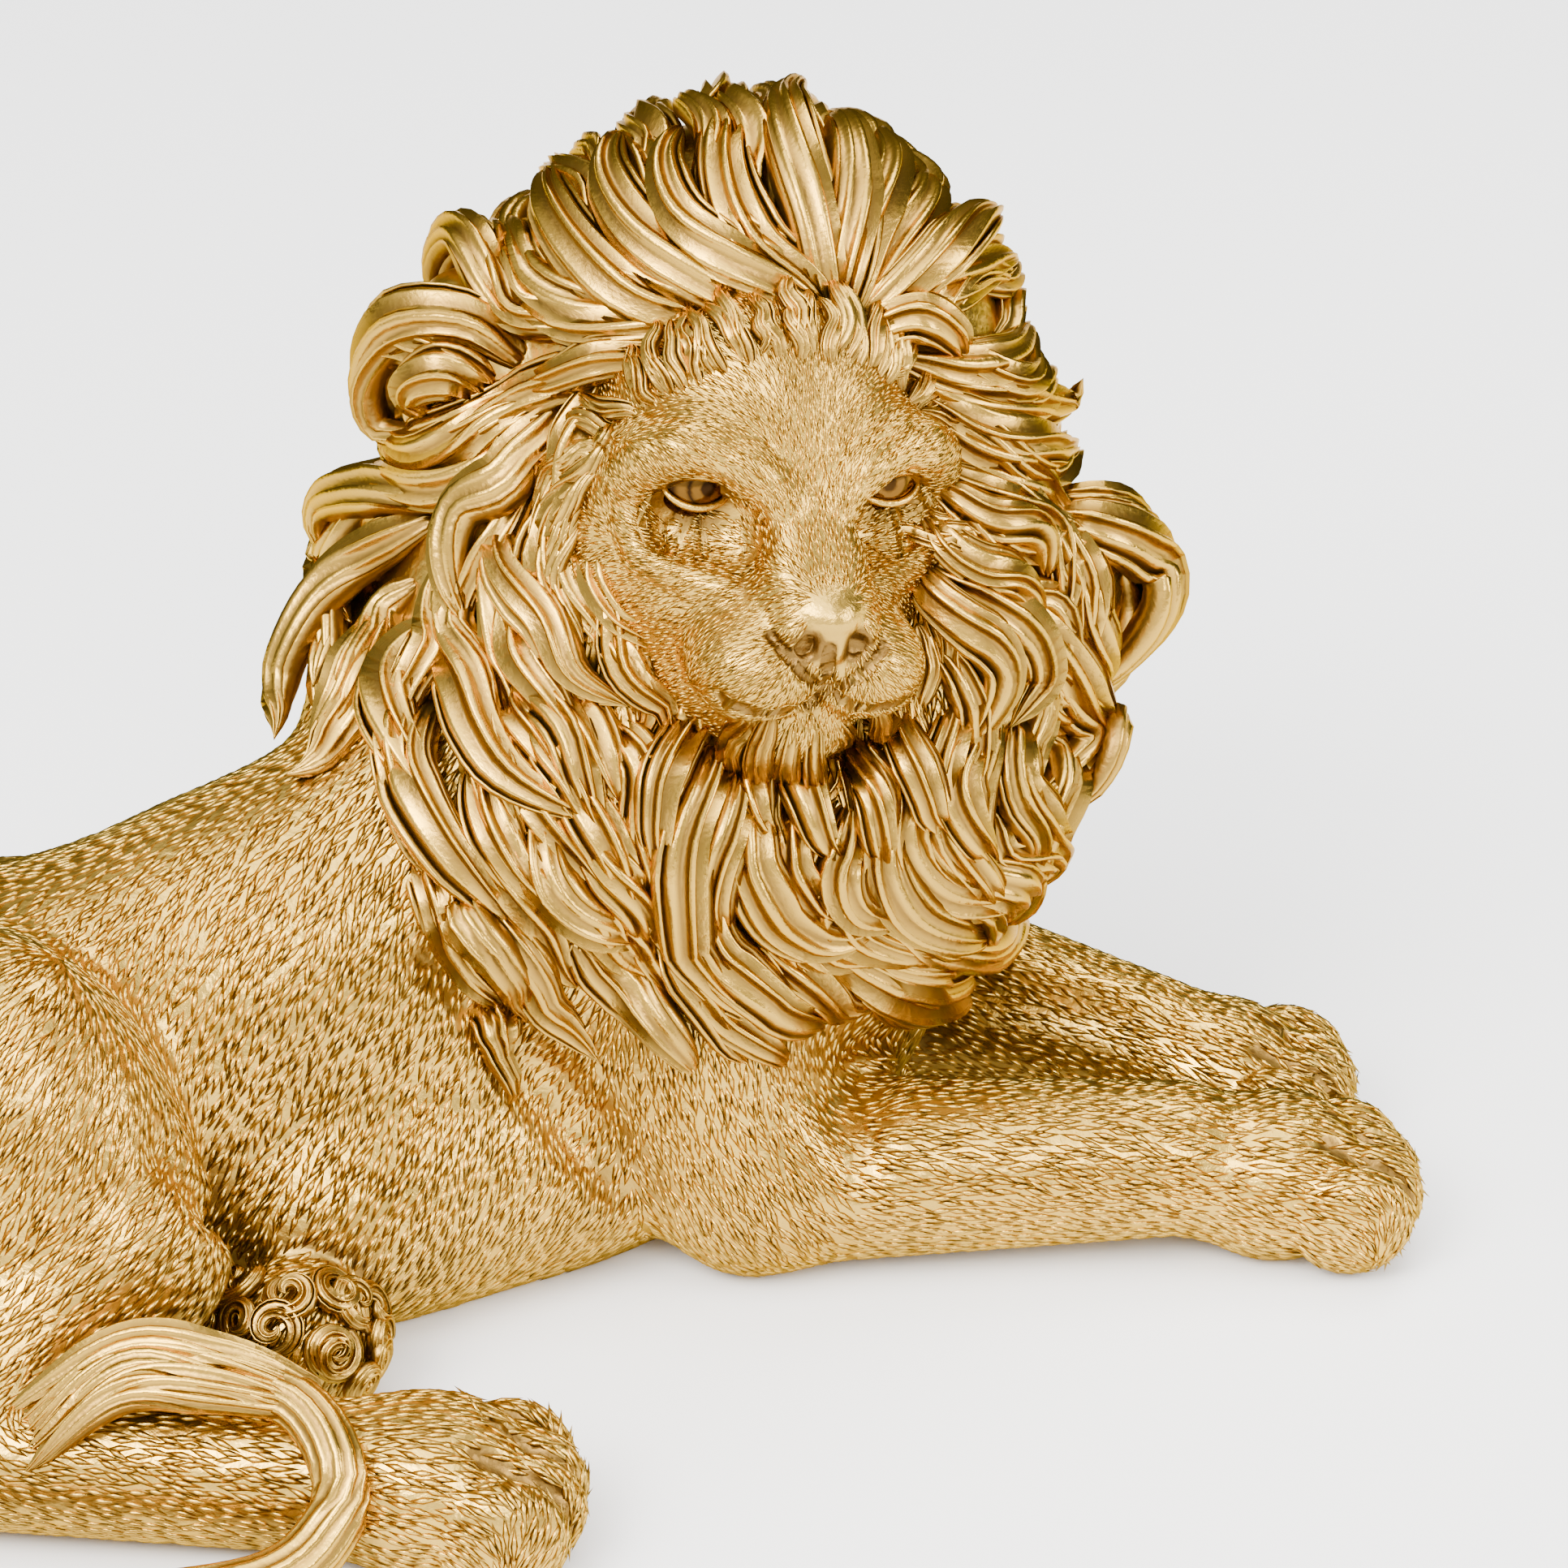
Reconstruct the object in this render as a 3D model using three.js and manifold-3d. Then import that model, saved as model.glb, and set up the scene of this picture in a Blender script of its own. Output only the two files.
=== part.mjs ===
// A cast figurine of a lion lying down with its head turned and raised, its forelegs stretched
// out in front and its tail curled round the near hind foot. It is one solid casting.
// Millimetres, +Z up. The lion's forelegs point along +X and its face looks towards -Y.
// The origin is on the floor, under the middle of the figure's box.
import * as THREE from "three";
import { mergeVertices } from "three/addons/utils/BufferGeometryUtils.js";
import Module from "manifold-3d";

// Driving dimensions. The pose, the muscles and the carving are laid out on a modeller's grid,
// in grid units of which the figure is GRID_HIGH high, so they are shares of its height.
const HEIGHT = 184;
const GRID_HIGH = 184;

// Thicknesses of the limbs and locks, as radii or half widths in grid units.
const ELBOW = 15.5;
const WRIST = 12.4;
const FOREPAW = 15;
const HIND_SHANK = 13.5;
const HIND_FOOT = 11.5;
const HIND_PAW = 14.5;
const TOE = 5;
const TAIL_ROOT = 8;
const TAIL_END = 5;
const LOCK_WIDTH = 6.6;
const LOCK_THICK = 4.4;
const LOCK_LENGTH = 46;
const LOCK_LIFT = 4.6;
const LOCK_FLICK = 2.5;
const LOCK_SWAY = 2.6;
const LOCK_SPACING = 10;
const ROW_SPACING = 20;
const ROOT_DEPTH = 1.5;
const LOCK_STEPS = 8;
const LOCK_SIDES = 6;

// Sizes of the facets, in grid units, before the skin is lightened to its most triangles.
// The short edges are drawn together first.
const FACET = 3;
const TRIANGLES = 9600;
const SHORT_EDGE_PREFERENCE = 0.02;

const wasm = await Module();
wasm.setup();

const vec = (x, y, z) => new THREE.Vector3(x, y, z);
const degrees = (angle) => (angle * Math.PI) / 180;
const UP = vec(0, 0, 1);
const NO_TURN = [vec(1, 0, 0), vec(0, 1, 0), vec(0, 0, 1)];

// Clay: a form is a list of strokes, each of which adds a rounded mass to what is there or
// carves one out of it, with a soft join. A form's depth at a point is negative inside it.
function softMin(a, b, blend) {
  const near = Math.max(blend - Math.abs(a - b), 0) / blend;
  return Math.min(a, b) - near * near * blend * 0.25;
}

// An egg-shaped mass, with its radii along three directions.
function mass(centre, radii, blend, turn = NO_TURN) {
  const depth = (p) => {
    const x = p.x - centre.x;
    const y = p.y - centre.y;
    const z = p.z - centre.z;
    let reach = 0;
    let slope = 0;
    for (let i = 0; i < 3; i++) {
      const q = (x * turn[i].x + y * turn[i].y + z * turn[i].z) / radii[i];
      reach += q * q;
      slope += (q * q) / (radii[i] * radii[i]);
    }
    if (slope < 1e-9) return -Math.min(...radii);
    return (Math.sqrt(reach) * (Math.sqrt(reach) - 1)) / Math.sqrt(slope);
  };
  return { depth, blend, centre, reach: Math.max(...radii), carve: false };
}

// A limb with round ends, from one joint to the next.
function limb(from, to, startRadius, endRadius, blend) {
  const along = to.clone().sub(from);
  const offset = vec(0, 0, 0);
  const depth = (p) => {
    offset.copy(p).sub(from);
    const share = THREE.MathUtils.clamp(offset.dot(along) / along.lengthSq(), 0, 1);
    const radius = THREE.MathUtils.lerp(startRadius, endRadius, share);
    return offset.addScaledVector(along, -share).length() - radius;
  };
  const centre = from.clone().lerp(to, 0.5);
  const reach = along.length() / 2 + Math.max(startRadius, endRadius);
  return { depth, blend, centre, reach, carve: false };
}

const carved = (stroke) => ({ ...stroke, carve: true });

function depthOf(form, p) {
  let depth = 1e3;
  for (const stroke of form) {
    const toSpare = stroke.carve ? -depth : depth;
    const nearest = p.distanceTo(stroke.centre) - stroke.reach;
    if (nearest > toSpare + stroke.blend) continue;
    const own = stroke.depth(p);
    depth = stroke.carve
      ? -softMin(-depth, own, stroke.blend)
      : softMin(depth, own, stroke.blend);
  }
  return depth;
}

function outward(form, p, step = 0.4) {
  const slope = ["x", "y", "z"].map((axis) => {
    const ahead = p.clone();
    const behind = p.clone();
    ahead[axis] += step;
    behind[axis] -= step;
    return depthOf(form, ahead) - depthOf(form, behind);
  });
  return vec(...slope).normalize();
}

// Three directions turned by a heading about Z, then tipped up by a pitch.
function turned(heading, pitch = 0) {
  const spin = new THREE.Euler(0, -degrees(pitch), degrees(heading), "ZYX");
  return NO_TURN.map((axis) => axis.clone().applyEuler(spin));
}

// The head has its own axes: sideways to the viewer's right, forwards along the nose, and up.
const HEAD_CENTRE = vec(-8, -12, 122.7);
const HEAD_YAW = 21;
const HEAD_ROLL = 7;
const HEAD = (() => {
  const yaw = degrees(HEAD_YAW);
  const forward = vec(Math.sin(yaw), -Math.cos(yaw), 0);
  const up = UP.clone().applyAxisAngle(forward, -degrees(HEAD_ROLL));
  return [up.clone().cross(forward), forward, up];
})();

function onHead(sideways, forwards, upwards) {
  return HEAD_CENTRE.clone()
    .addScaledVector(HEAD[0], sideways)
    .addScaledVector(HEAD[1], forwards)
    .addScaledVector(HEAD[2], upwards);
}

// The bulk of the mane, under its locks: the crown, the neck, the chest, the withers and the
// shoulders on both sides, with a hollow in front in which the face sits.
const MANE_BLEND = 14;
const CURL_BLEND = 8;
const SHOULDER_HEADING = 28;
function maneBulk() {
  const alongTrunk = turned(SHOULDER_HEADING);
  return [
    mass(vec(-7, 12, 129), [45, 38, 50], MANE_BLEND),
    mass(vec(-9, 4, 104), [56, 42, 38], MANE_BLEND),
    mass(vec(9, -13, 76), [33, 28, 32], MANE_BLEND),
    mass(vec(-40, 4, 84), [29, 28, 19], MANE_BLEND, alongTrunk),
    mass(vec(-24, -20, 77), [36, 28, 27], MANE_BLEND, alongTrunk),
    mass(vec(-57, 0, 90), [17, 24, 13], MANE_BLEND, alongTrunk),
    mass(vec(-50, 4, 145), [11, 14, 13], CURL_BLEND),
    mass(vec(46, 1, 106), [9, 12, 15], CURL_BLEND),
    carved(mass(onHead(0, 38, -2), [27, 26, 38], 6, HEAD)),
  ];
}

const EYE = [15.7, 18.7, 13.7];
const EYEBALL = 5.8;

function face() {
  const knob = (place, radii, blend) =>
    mass(onHead(...place), radii, blend, HEAD);
  const ridge = (route, radius, blend) =>
    route
      .slice(1)
      .map((place, n) =>
        limb(onHead(...route[n]), onHead(...place), radius, radius, blend),
      );
  // A point on the eyeball's lids, by its angles outwards and upwards from straight ahead.
  const lidPoint = (out, up) => [
    EYE[0] + 6.3 * Math.sin(degrees(out)) * Math.cos(degrees(up)),
    EYE[1] + 6.3 * Math.cos(degrees(out)) * Math.cos(degrees(up)),
    EYE[2] + 6.3 * Math.sin(degrees(up)),
  ];
  const innerCorner = lidPoint(-62, -6);
  const outerCorner = lidPoint(66, 8);
  const upperLid = [innerCorner, lidPoint(-25, 27), lidPoint(22, 28), outerCorner];
  const lowerLid = [innerCorner, lidPoint(-20, -24), lidPoint(25, -20), outerCorner];
  const strokes = [
    knob([0, -4, 7], [29, 29, 31], 8),
    knob([0, 8, 20], [22, 17, 21], 8),
    knob([0, 13, -1], [28, 20, 25], 8),
    knob([0, 14, -19], [20, 20, 12], 7),
    knob([0, 30, -7], [15, 14, 10], 7),
    knob([0, 31, -21.5], [10.5, 9, 7.5], 4),
  ];
  const sides = [-1, 1];
  const mirrored = (side, route) => route.map(([a, b, c]) => [side * a, b, c]);
  for (const side of sides) {
    const [start, end] = mirrored(side, [
      [2.6, 17.5, 17],
      [2.8, 38, 0.5],
    ]);
    strokes.push(
      limb(onHead(...start), onHead(...end), 6.6, 4.8, 4),
      knob([side * 22, 2, -6], [10, 14, 20], 7),
      knob([side * 12.5, 19.5, 21.5], [8, 6, 4.4], 5),
      knob([side * 8.8, 34.5, -10.5], [9.8, 10.5, 8], 4),
      carved(knob([side * 16, 28, 9], [8.5, 6.5, 9], 6)),
      ...ridge(
        mirrored(side, [
          [17, 20.5, 20.5],
          [23.5, 15, 16],
          [24, 13.5, 8],
          [19.5, 18.5, 0],
          [13, 25.5, -2],
        ]),
        3,
        5,
      ),
      knob([side * EYE[0], EYE[1], EYE[2]], [EYEBALL, EYEBALL, EYEBALL], 1),
      ...ridge(mirrored(side, upperLid), 1.5, 1.5),
      ...ridge(mirrored(side, lowerLid), 1.2, 1.5),
    );
  }
  strokes.push(
    knob([0, 42.5, -1], [8.2, 5.8, 4.8], 2),
    ...sides.map((side) => knob([side * 6, 42, -2.4], [3.2, 4.5, 3.6], 1.5)),
    carved(limb(onHead(0, 49.5, -6), onHead(0, 46.5, -13), 1.1, 1.1, 1.5)),
  );
  for (const side of sides) {
    const lips = mirrored(side, [
      [0, 46.5, -13],
      [7, 44.5, -17],
      [13, 38, -18.5],
      [18.5, 28, -15],
    ]);
    strokes.push(
      carved(knob([side * 4.4, 48.3, -3.8], [2.2, 2.8, 1.5], 1.2)),
      ...ridge(lips, 1.2, 1.6).map(carved),
    );
  }
  return strokes;
}

// The trunk runs back from the shoulders towards the viewer's side, at this heading.
const TRUNK_HEADING = 28;
const TRUNK = turned(TRUNK_HEADING);

function trunk() {
  return [
    mass(vec(-6, 0, 48), [34, 35, 42], 12),
    mass(vec(-48, -16, 50), [54, 35, 45.5], 14, TRUNK),
    mass(vec(-90, -38, 45), [38, 30, 38], 14, TRUNK),
    mass(vec(-122, -54, 42), [36, 34, 35.5], 12, TRUNK),
    mass(vec(-141, -63, 34), [25, 29, 29], 12, TRUNK),
    mass(vec(-40, 0, 80), [30, 20, 20], 14, TRUNK),
    mass(vec(-60, -26, 12), [90, 26, 20], 10, TRUNK),
    mass(vec(-42, -32, 20), [36, 22, 19], 8, turned(30)),
    mass(vec(-68, -44, 22), [36, 26, 23], 8, turned(40)),
  ];
}

const NEAR_ELBOW = vec(-5, -34, 16.5);
const NEAR_WRIST = vec(64, -30, 16.5);
const NEAR_FOREPAW = vec(83.5, -29, 13);
const FAR_ELBOW = vec(6, 34, 21);
const FAR_WRIST = vec(60, 9, 17);
const FAR_FOREPAW = vec(76, 5, 13.5);
const NEAR_KNEE = vec(-101, -92, 34);
const NEAR_HOCK = vec(-134, -116, 14);
const NEAR_HIND_PAW = vec(-50, -124, 12);
const FAR_KNEE = vec(-98, 0, 30);
const FAR_HOCK = vec(-147, -20, 14);
const FAR_HIND_PAW = vec(-84, 14, 12);

function forelegs() {
  return [
    mass(vec(-20, -28, 54), [26, 15, 30], 5, turned(0, -14)),
    limb(vec(-18, -31, 46), NEAR_ELBOW, 19, ELBOW, 8),
    limb(NEAR_ELBOW, NEAR_WRIST, ELBOW, WRIST, 6),
    mass(vec(-14, 30, 52), [25, 16, 30], 6),
    limb(vec(-10, 32, 44), FAR_ELBOW, 20, ELBOW, 8),
    limb(FAR_ELBOW, FAR_WRIST, ELBOW * 1.2, WRIST, 6),
    ...paw(NEAR_FOREPAW, 0, FOREPAW),
    ...paw(FAR_FOREPAW, -8, FOREPAW * 0.95),
  ];
}

function hindlegs() {
  const nearThigh = vec(-123, -78, 43);
  const farThigh = vec(-128, -28, 38);
  return [
    mass(nearThigh, [33, 24, 37], 6, turned(-30, 8)),
    limb(nearThigh, NEAR_KNEE, 22, 15.5, 8),
    limb(NEAR_KNEE, NEAR_HOCK, HIND_SHANK, HIND_FOOT, 6),
    limb(NEAR_HOCK, NEAR_HIND_PAW, HIND_FOOT, HIND_FOOT, 5),
    mass(farThigh, [32, 20, 30], 6, TRUNK),
    limb(farThigh, FAR_KNEE, 20, 15, 8),
    limb(FAR_KNEE, FAR_HOCK, HIND_SHANK, HIND_FOOT, 6),
    limb(FAR_HOCK, FAR_HIND_PAW, HIND_FOOT, HIND_FOOT, 5),
    ...paw(NEAR_HIND_PAW, 0, HIND_PAW),
    ...paw(FAR_HIND_PAW, TRUNK_HEADING, HIND_PAW * 0.9),
  ];
}

// A paw is a low pad with four toes across its front, the middle two furthest out.
function paw(centre, heading, girth) {
  const turn = turned(heading);
  const place = (ahead, across, up) =>
    centre
      .clone()
      .addScaledVector(turn[0], ahead)
      .addScaledVector(turn[1], across)
      .addScaledVector(UP, up);
  const strokes = [
    mass(place(-3, 0, 0), [girth * 1.15, girth * 0.98, girth * 0.9], 5, turn),
  ];
  for (const toe of [-1.5, -0.5, 0.5, 1.5]) {
    const ahead = girth * (0.78 - 0.08 * toe * toe);
    const across = toe * TOE * 1.55;
    strokes.push(
      mass(place(ahead, across, -3), [TOE * 1.8, TOE, TOE * 1.6], 1.2, turn),
    );
  }
  return strokes;
}

// The curls of long hair under the flank, between the knee and the belly.
function flankCurls() {
  const middle = vec(-73, -86, 14);
  const curls = [mass(vec(-76, -80, 12), [13, 14, 13], 3)];
  for (let ring = 0; ring < 2; ring++)
    for (let n = 0; n < 4; n++) {
      const angle = degrees(90 * n + 40 * ring);
      const reach = 9 - 2 * ring;
      const place = vec(
        middle.x + reach * Math.cos(angle),
        middle.y + reach * 0.6 * Math.sin(angle),
        middle.z - 7 + 12 * ring,
      );
      curls.push(mass(place, [7, 7, 7], 2));
    }
  return curls;
}

const BLOCK = 4;
const BLOCK_REACH = 6;

// Turns a form into a closed mesh: one vertex in each cell that the surface crosses, at the
// middle of its crossings, and one pair of triangles for each grid edge that it cuts.
function skin(form, low, high, cell) {
  const count = ["x", "y", "z"].map(
    (axis) => Math.ceil((high[axis] - low[axis]) / cell) + 1,
  );
  const strides = [1, count[0], count[0] * count[1]];
  const depth = new Float32Array(count[0] * count[1] * count[2]);
  const at = (i, j, k) => i + j * strides[1] + k * strides[2];
  // A block of cells that lies well inside or outside the form takes its middle's depth.
  const p = vec(0, 0, 0);
  const place = (i, j, k) =>
    p.set(low.x + i * cell, low.y + j * cell, low.z + k * cell);
  const half = BLOCK / 2;
  for (let k = 0; k < count[2]; k += BLOCK)
    for (let j = 0; j < count[1]; j += BLOCK)
      for (let i = 0; i < count[0]; i += BLOCK) {
        const middle = depthOf(form, place(i + half, j + half, k + half));
        const far = Math.abs(middle) > BLOCK_REACH * cell;
        for (let n = 0; n < BLOCK ** 3; n++) {
          const x = i + (n % BLOCK);
          const y = j + (Math.floor(n / BLOCK) % BLOCK);
          const z = k + Math.floor(n / BLOCK ** 2);
          if (x >= count[0] || y >= count[1] || z >= count[2]) continue;
          depth[at(x, y, z)] = far ? middle : depthOf(form, place(x, y, z));
        }
      }
  fillPinches(depth, count, strides, cell);
  const vertexOf = new Map();
  const positions = [];
  const corners = [0, 1, 2, 3, 4, 5, 6, 7].map((c) => [
    c & 1,
    (c >> 1) & 1,
    (c >> 2) & 1,
  ]);
  const vertexIn = (cellOrigin) => {
    const start = at(...cellOrigin);
    if (vertexOf.has(start)) return vertexOf.get(start);
    const sum = vec(0, 0, 0);
    let crossings = 0;
    for (const [a, one] of corners.entries())
      for (let axis = 0; axis < 3; axis++) {
        if (one[axis]) continue;
        const first = depth[start + one.reduce((s, c, n) => s + c * strides[n], 0)];
        const second =
          depth[
            start + one.reduce((s, c, n) => s + c * strides[n], 0) + strides[axis]
          ];
        if (first < 0 === second < 0) continue;
        const crossing = corners[a].slice();
        crossing[axis] = first / (first - second);
        sum.add(vec(...crossing));
        crossings++;
      }
    sum.divideScalar(crossings).add(vec(...cellOrigin));
    positions.push(
      low.x + sum.x * cell,
      low.y + sum.y * cell,
      low.z + sum.z * cell,
    );
    vertexOf.set(start, positions.length / 3 - 1);
    return vertexOf.get(start);
  };
  const triangles = [];
  for (let k = 1; k < count[2] - 1; k++)
    for (let j = 1; j < count[1] - 1; j++)
      for (let i = 1; i < count[0] - 1; i++)
        for (let axis = 0; axis < 3; axis++) {
          const here = at(i, j, k);
          const inside = depth[here] < 0;
          if (inside === depth[here + strides[axis]] < 0) continue;
          const [b, c] = [(axis + 1) % 3, (axis + 2) % 3];
          const ring = [
            [0, 0],
            [1, 0],
            [1, 1],
            [0, 1],
          ].map(([db, dc]) => {
            const cellOrigin = [i, j, k];
            cellOrigin[b] -= db;
            cellOrigin[c] -= dc;
            return vertexIn(cellOrigin);
          });
          if (!inside) ring.reverse();
          triangles.push(ring[0], ring[1], ring[2], ring[0], ring[2], ring[3]);
        }
  return solid(positions, triangles);
}

// Where only two opposite corners of a grid square lie inside, two sheets would meet at an edge.
// Such a square is filled in.
function fillPinches(depth, count, strides, cell) {
  const filled = -0.02 * cell;
  let changed = true;
  while (changed) {
    changed = false;
    for (let k = 0; k < count[2] - 1; k++)
      for (let j = 0; j < count[1] - 1; j++)
        for (let i = 0; i < count[0] - 1; i++)
          for (let axis = 0; axis < 3; axis++) {
            const b = strides[(axis + 1) % 3];
            const c = strides[(axis + 2) % 3];
            const o = i + j * strides[1] + k * strides[2];
            const square = [o, o + b, o + b + c, o + c];
            const inside = square.map((n) => depth[n] < 0);
            if (inside[0] !== inside[2] || inside[1] !== inside[3]) continue;
            if (inside[0] === inside[1]) continue;
            depth[square[inside[0] ? 1 : 0]] = filled;
            changed = true;
          }
  }
}

function solid(positions, triangles) {
  return new wasm.Manifold(
    new wasm.Mesh({
      numProp: 3,
      vertProperties: new Float32Array(positions),
      triVerts: new Uint32Array(triangles),
    }),
  );
}

// A closed rod along a path. Each station gives its place, its broad direction, its half width
// and its half thickness, and both ends come to a point.
function rod(stations, sides) {
  const positions = [];
  const triangles = [];
  const last = stations.length - 1;
  stations.forEach((station, n) => {
    const ahead = stations[Math.min(n + 1, last)].place
      .clone()
      .sub(stations[Math.max(n - 1, 0)].place)
      .normalize();
    const thick = station.face
      .clone()
      .addScaledVector(ahead, -station.face.dot(ahead))
      .normalize();
    const broad = thick.clone().cross(ahead);
    for (let side = 0; side < sides; side++) {
      const angle = (2 * Math.PI * side) / sides;
      const point = station.place
        .clone()
        .addScaledVector(broad, station.width * Math.cos(angle))
        .addScaledVector(thick, station.thickness * Math.sin(angle));
      positions.push(point.x, point.y, point.z);
    }
  });
  const ends = [0, last].map((n) => {
    const other = stations[n ? last - 1 : 1];
    const tip = stations[n].place
      .clone()
      .multiplyScalar(1.5)
      .addScaledVector(other.place, -0.5);
    positions.push(tip.x, tip.y, tip.z);
    return positions.length / 3 - 1;
  });
  for (let n = 0; n < last; n++)
    for (let side = 0; side < sides; side++) {
      const next = (side + 1) % sides;
      const [a, b] = [n * sides + side, n * sides + next];
      triangles.push(a, b, b + sides, a, b + sides, a + sides);
    }
  for (let side = 0; side < sides; side++) {
    const next = (side + 1) % sides;
    triangles.push(ends[0], next, side);
    triangles.push(ends[1], last * sides + side, last * sides + next);
  }
  return solid(positions, triangles);
}

// The way the hair runs at a point of the mane: up and back from the face on the crown, outwards
// and then down at the sides, and down the chest.
function hairFlow(p) {
  const from = p.clone().sub(HEAD_CENTRE);
  const ahead = from.dot(HEAD[1]);
  const radial = from.clone().addScaledVector(HEAD[1], -ahead).normalize();
  const height = from.dot(HEAD[2]);
  const hang = THREE.MathUtils.smoothstep(-height, -40, 20);
  return radial
    .multiplyScalar(0.9 - 0.5 * hang)
    .addScaledVector(HEAD[1], -0.7 + 0.45 * hang)
    .addScaledVector(UP, -1.1 * hang);
}

// One lock along a path over the form: it leaves its root under the surface, stands up in the
// middle, and its tip lies down or flicks out.
function lock(form, path, size) {
  const stations = path.getSpacedPoints(LOCK_STEPS).map((place, n) => {
    const share = n / LOCK_STEPS;
    const normal = outward(form, place);
    const proud = Math.max(depthOf(form, place), 0);
    const foot = place.clone().addScaledVector(normal, -depthOf(form, place));
    const rise = size.lift * Math.sin(Math.PI * (0.08 + 0.8 * share)) - ROOT_DEPTH;
    const body = Math.sin(Math.PI * (0.22 + 0.78 * share ** 0.8));
    return {
      place: foot.addScaledVector(normal, rise + proud + size.flick * share * share),
      face: normal,
      width: size.width * (0.16 + 0.84 * body),
      thickness: LOCK_THICK * (0.25 + 0.75 * body),
    };
  });
  return rod(stations, LOCK_SIDES);
}

// The locks that the front view shows, each from root to tip. A place is where it is seen, in
// picture units to the right of and below the picture's corner, as the camera in front sees it.
const PICTURE = { middle: 966, focus: 7500 };
const VIEW = { target: vec(0, 0, 70), distance: 1000, elevation: 25, depth: 160 };
const FRONT_LOCKS = [
  "1026,396 934,312 892,200 905,150",
  "1030,392 971,225 985,125",
  "1040,392 1050,290 1062,170",
  "1050,396 1124,265 1128,215",
  "1060,398 1165,300 1205,275",
  "1065,402 1193,335 1245,325",
  "1015,395 900,335 832,230 845,180",
  "985,394 860,350 768,240 775,185",
  "930,390 790,370 702,270 700,215",
  "870,402 725,392 640,305 650,262",
  "720,405 655,385 585,310",
  "640,440 580,402 488,460 505,512 555,522",
  "690,500 562,535 488,520",
  "690,500 645,600 578,715 592,770",
  "660,540 545,602 462,578",
  "570,605 450,632 426,708",
  "1110,440 1230,440 1262,400",
  "1125,455 1250,500 1328,470",
  "1145,490 1268,560 1325,560",
  "1156,520 1280,615 1335,640",
  "1165,580 1285,667 1290,770",
  "1290,640 1392,690 1368,790 1325,850",
  "1155,700 1258,800 1236,893",
  "1130,700 1205,820 1185,915",
  "1230,735 1325,860 1300,998",
  "1195,905 1178,1015 1212,1055",
  "1245,900 1266,1015 1268,1100",
  "1113,960 1155,1082 1262,1085",
  "1049,1000 1048,1100 1100,1122",
  "915,985 955,1112 1075,1135",
  "1090,990 1110,1100 1205,1138",
  "1003,1137 1108,1215 1171,1190",
  "862,1090 940,1240 1007,1252",
  "925,1125 1012,1222 1072,1228",
  "887,905 826,1061 885,1222 945,1252",
  "529,640 440,745 350,925",
  "580,690 590,842 640,968 735,1008",
  "529,871 550,1040 640,1135",
  "672,838 735,905 762,990",
  "650,1005 735,1130 790,1156",
  "640,720 690,860 715,935",
  "480,760 430,880 385,925",
  "545,760 492,900 565,1000",
  "600,930 640,1060 698,1148",
  "715,1000 782,1105 800,1158",
  "480,600 425,720 440,770",
].map((line) => line.split(" ").map((place) => place.split(",").map(Number)));

// Where a place of the front view lies on a form, or passes closest to it.
function seenOn(form, [across, down]) {
  const tilt = degrees(VIEW.elevation);
  const ahead = vec(0, Math.cos(tilt), -Math.sin(tilt));
  const up = vec(0, Math.sin(tilt), Math.cos(tilt));
  const eye = VIEW.target.clone().addScaledVector(ahead, -VIEW.distance);
  const direction = ahead
    .multiplyScalar(PICTURE.focus)
    .addScaledVector(up, PICTURE.middle - down)
    .add(vec(across - PICTURE.middle, 0, 0))
    .normalize();
  let nearest = null;
  let least = Infinity;
  for (let reach = -VIEW.depth; reach < VIEW.depth; reach++) {
    const p = eye.clone().addScaledVector(direction, VIEW.distance + reach);
    const depth = depthOf(form, p);
    if (depth < least) {
      least = depth;
      nearest = p;
    }
    if (depth < 0) break;
  }
  return nearest;
}

// Where a ray from the middle of the head leaves the mane's bulk for the last time.
function onMane(bulk, direction) {
  for (let reach = 110; reach > 5; reach--) {
    const p = HEAD_CENTRE.clone().addScaledVector(direction, reach);
    if (depthOf(bulk, p) < 0) return p;
  }
  return null;
}

// Roots are tried from the hairline outwards, ring by ring, and kept where no other root is near:
// they may stand closer side by side than one behind another.
const LOWEST_ROOT = 50;
const HAIRLINE = { sideways: 26, upwards: 33, middle: 3 };

function maneRoots(bulk, taken) {
  const roots = [];
  for (let opening = 26; opening <= 160; opening += 4) {
    const angle = degrees(opening);
    for (let n = 0; n < 72; n++) {
      const turn = degrees(5 * n + 2.5 * (opening % 8));
      const direction = HEAD[1]
        .clone()
        .multiplyScalar(Math.cos(angle))
        .addScaledVector(HEAD[0], Math.sin(angle) * Math.sin(turn))
        .addScaledVector(HEAD[2], Math.sin(angle) * Math.cos(turn));
      const place = onMane(bulk, direction);
      if (!place || place.z < LOWEST_ROOT) continue;
      const from = place.clone().sub(HEAD_CENTRE);
      const onFace =
        from.dot(HEAD[1]) > 0 &&
        Math.hypot(
          from.dot(HEAD[0]) / HAIRLINE.sideways,
          (from.dot(HEAD[2]) - HAIRLINE.middle) / HAIRLINE.upwards,
        ) < 1;
      if (onFace) continue;
      const way = hairFlow(place).normalize();
      const crowded = [...taken, ...roots].some((other) => {
        const apart = place.clone().sub(other.place);
        const along = apart.dot(other.way);
        const across = Math.sqrt(Math.max(0, apart.lengthSq() - along * along));
        return Math.hypot(along / ROW_SPACING, across / LOCK_SPACING) < 1;
      });
      if (!crowded) roots.push({ place, way });
    }
  }
  return roots;
}

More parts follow.
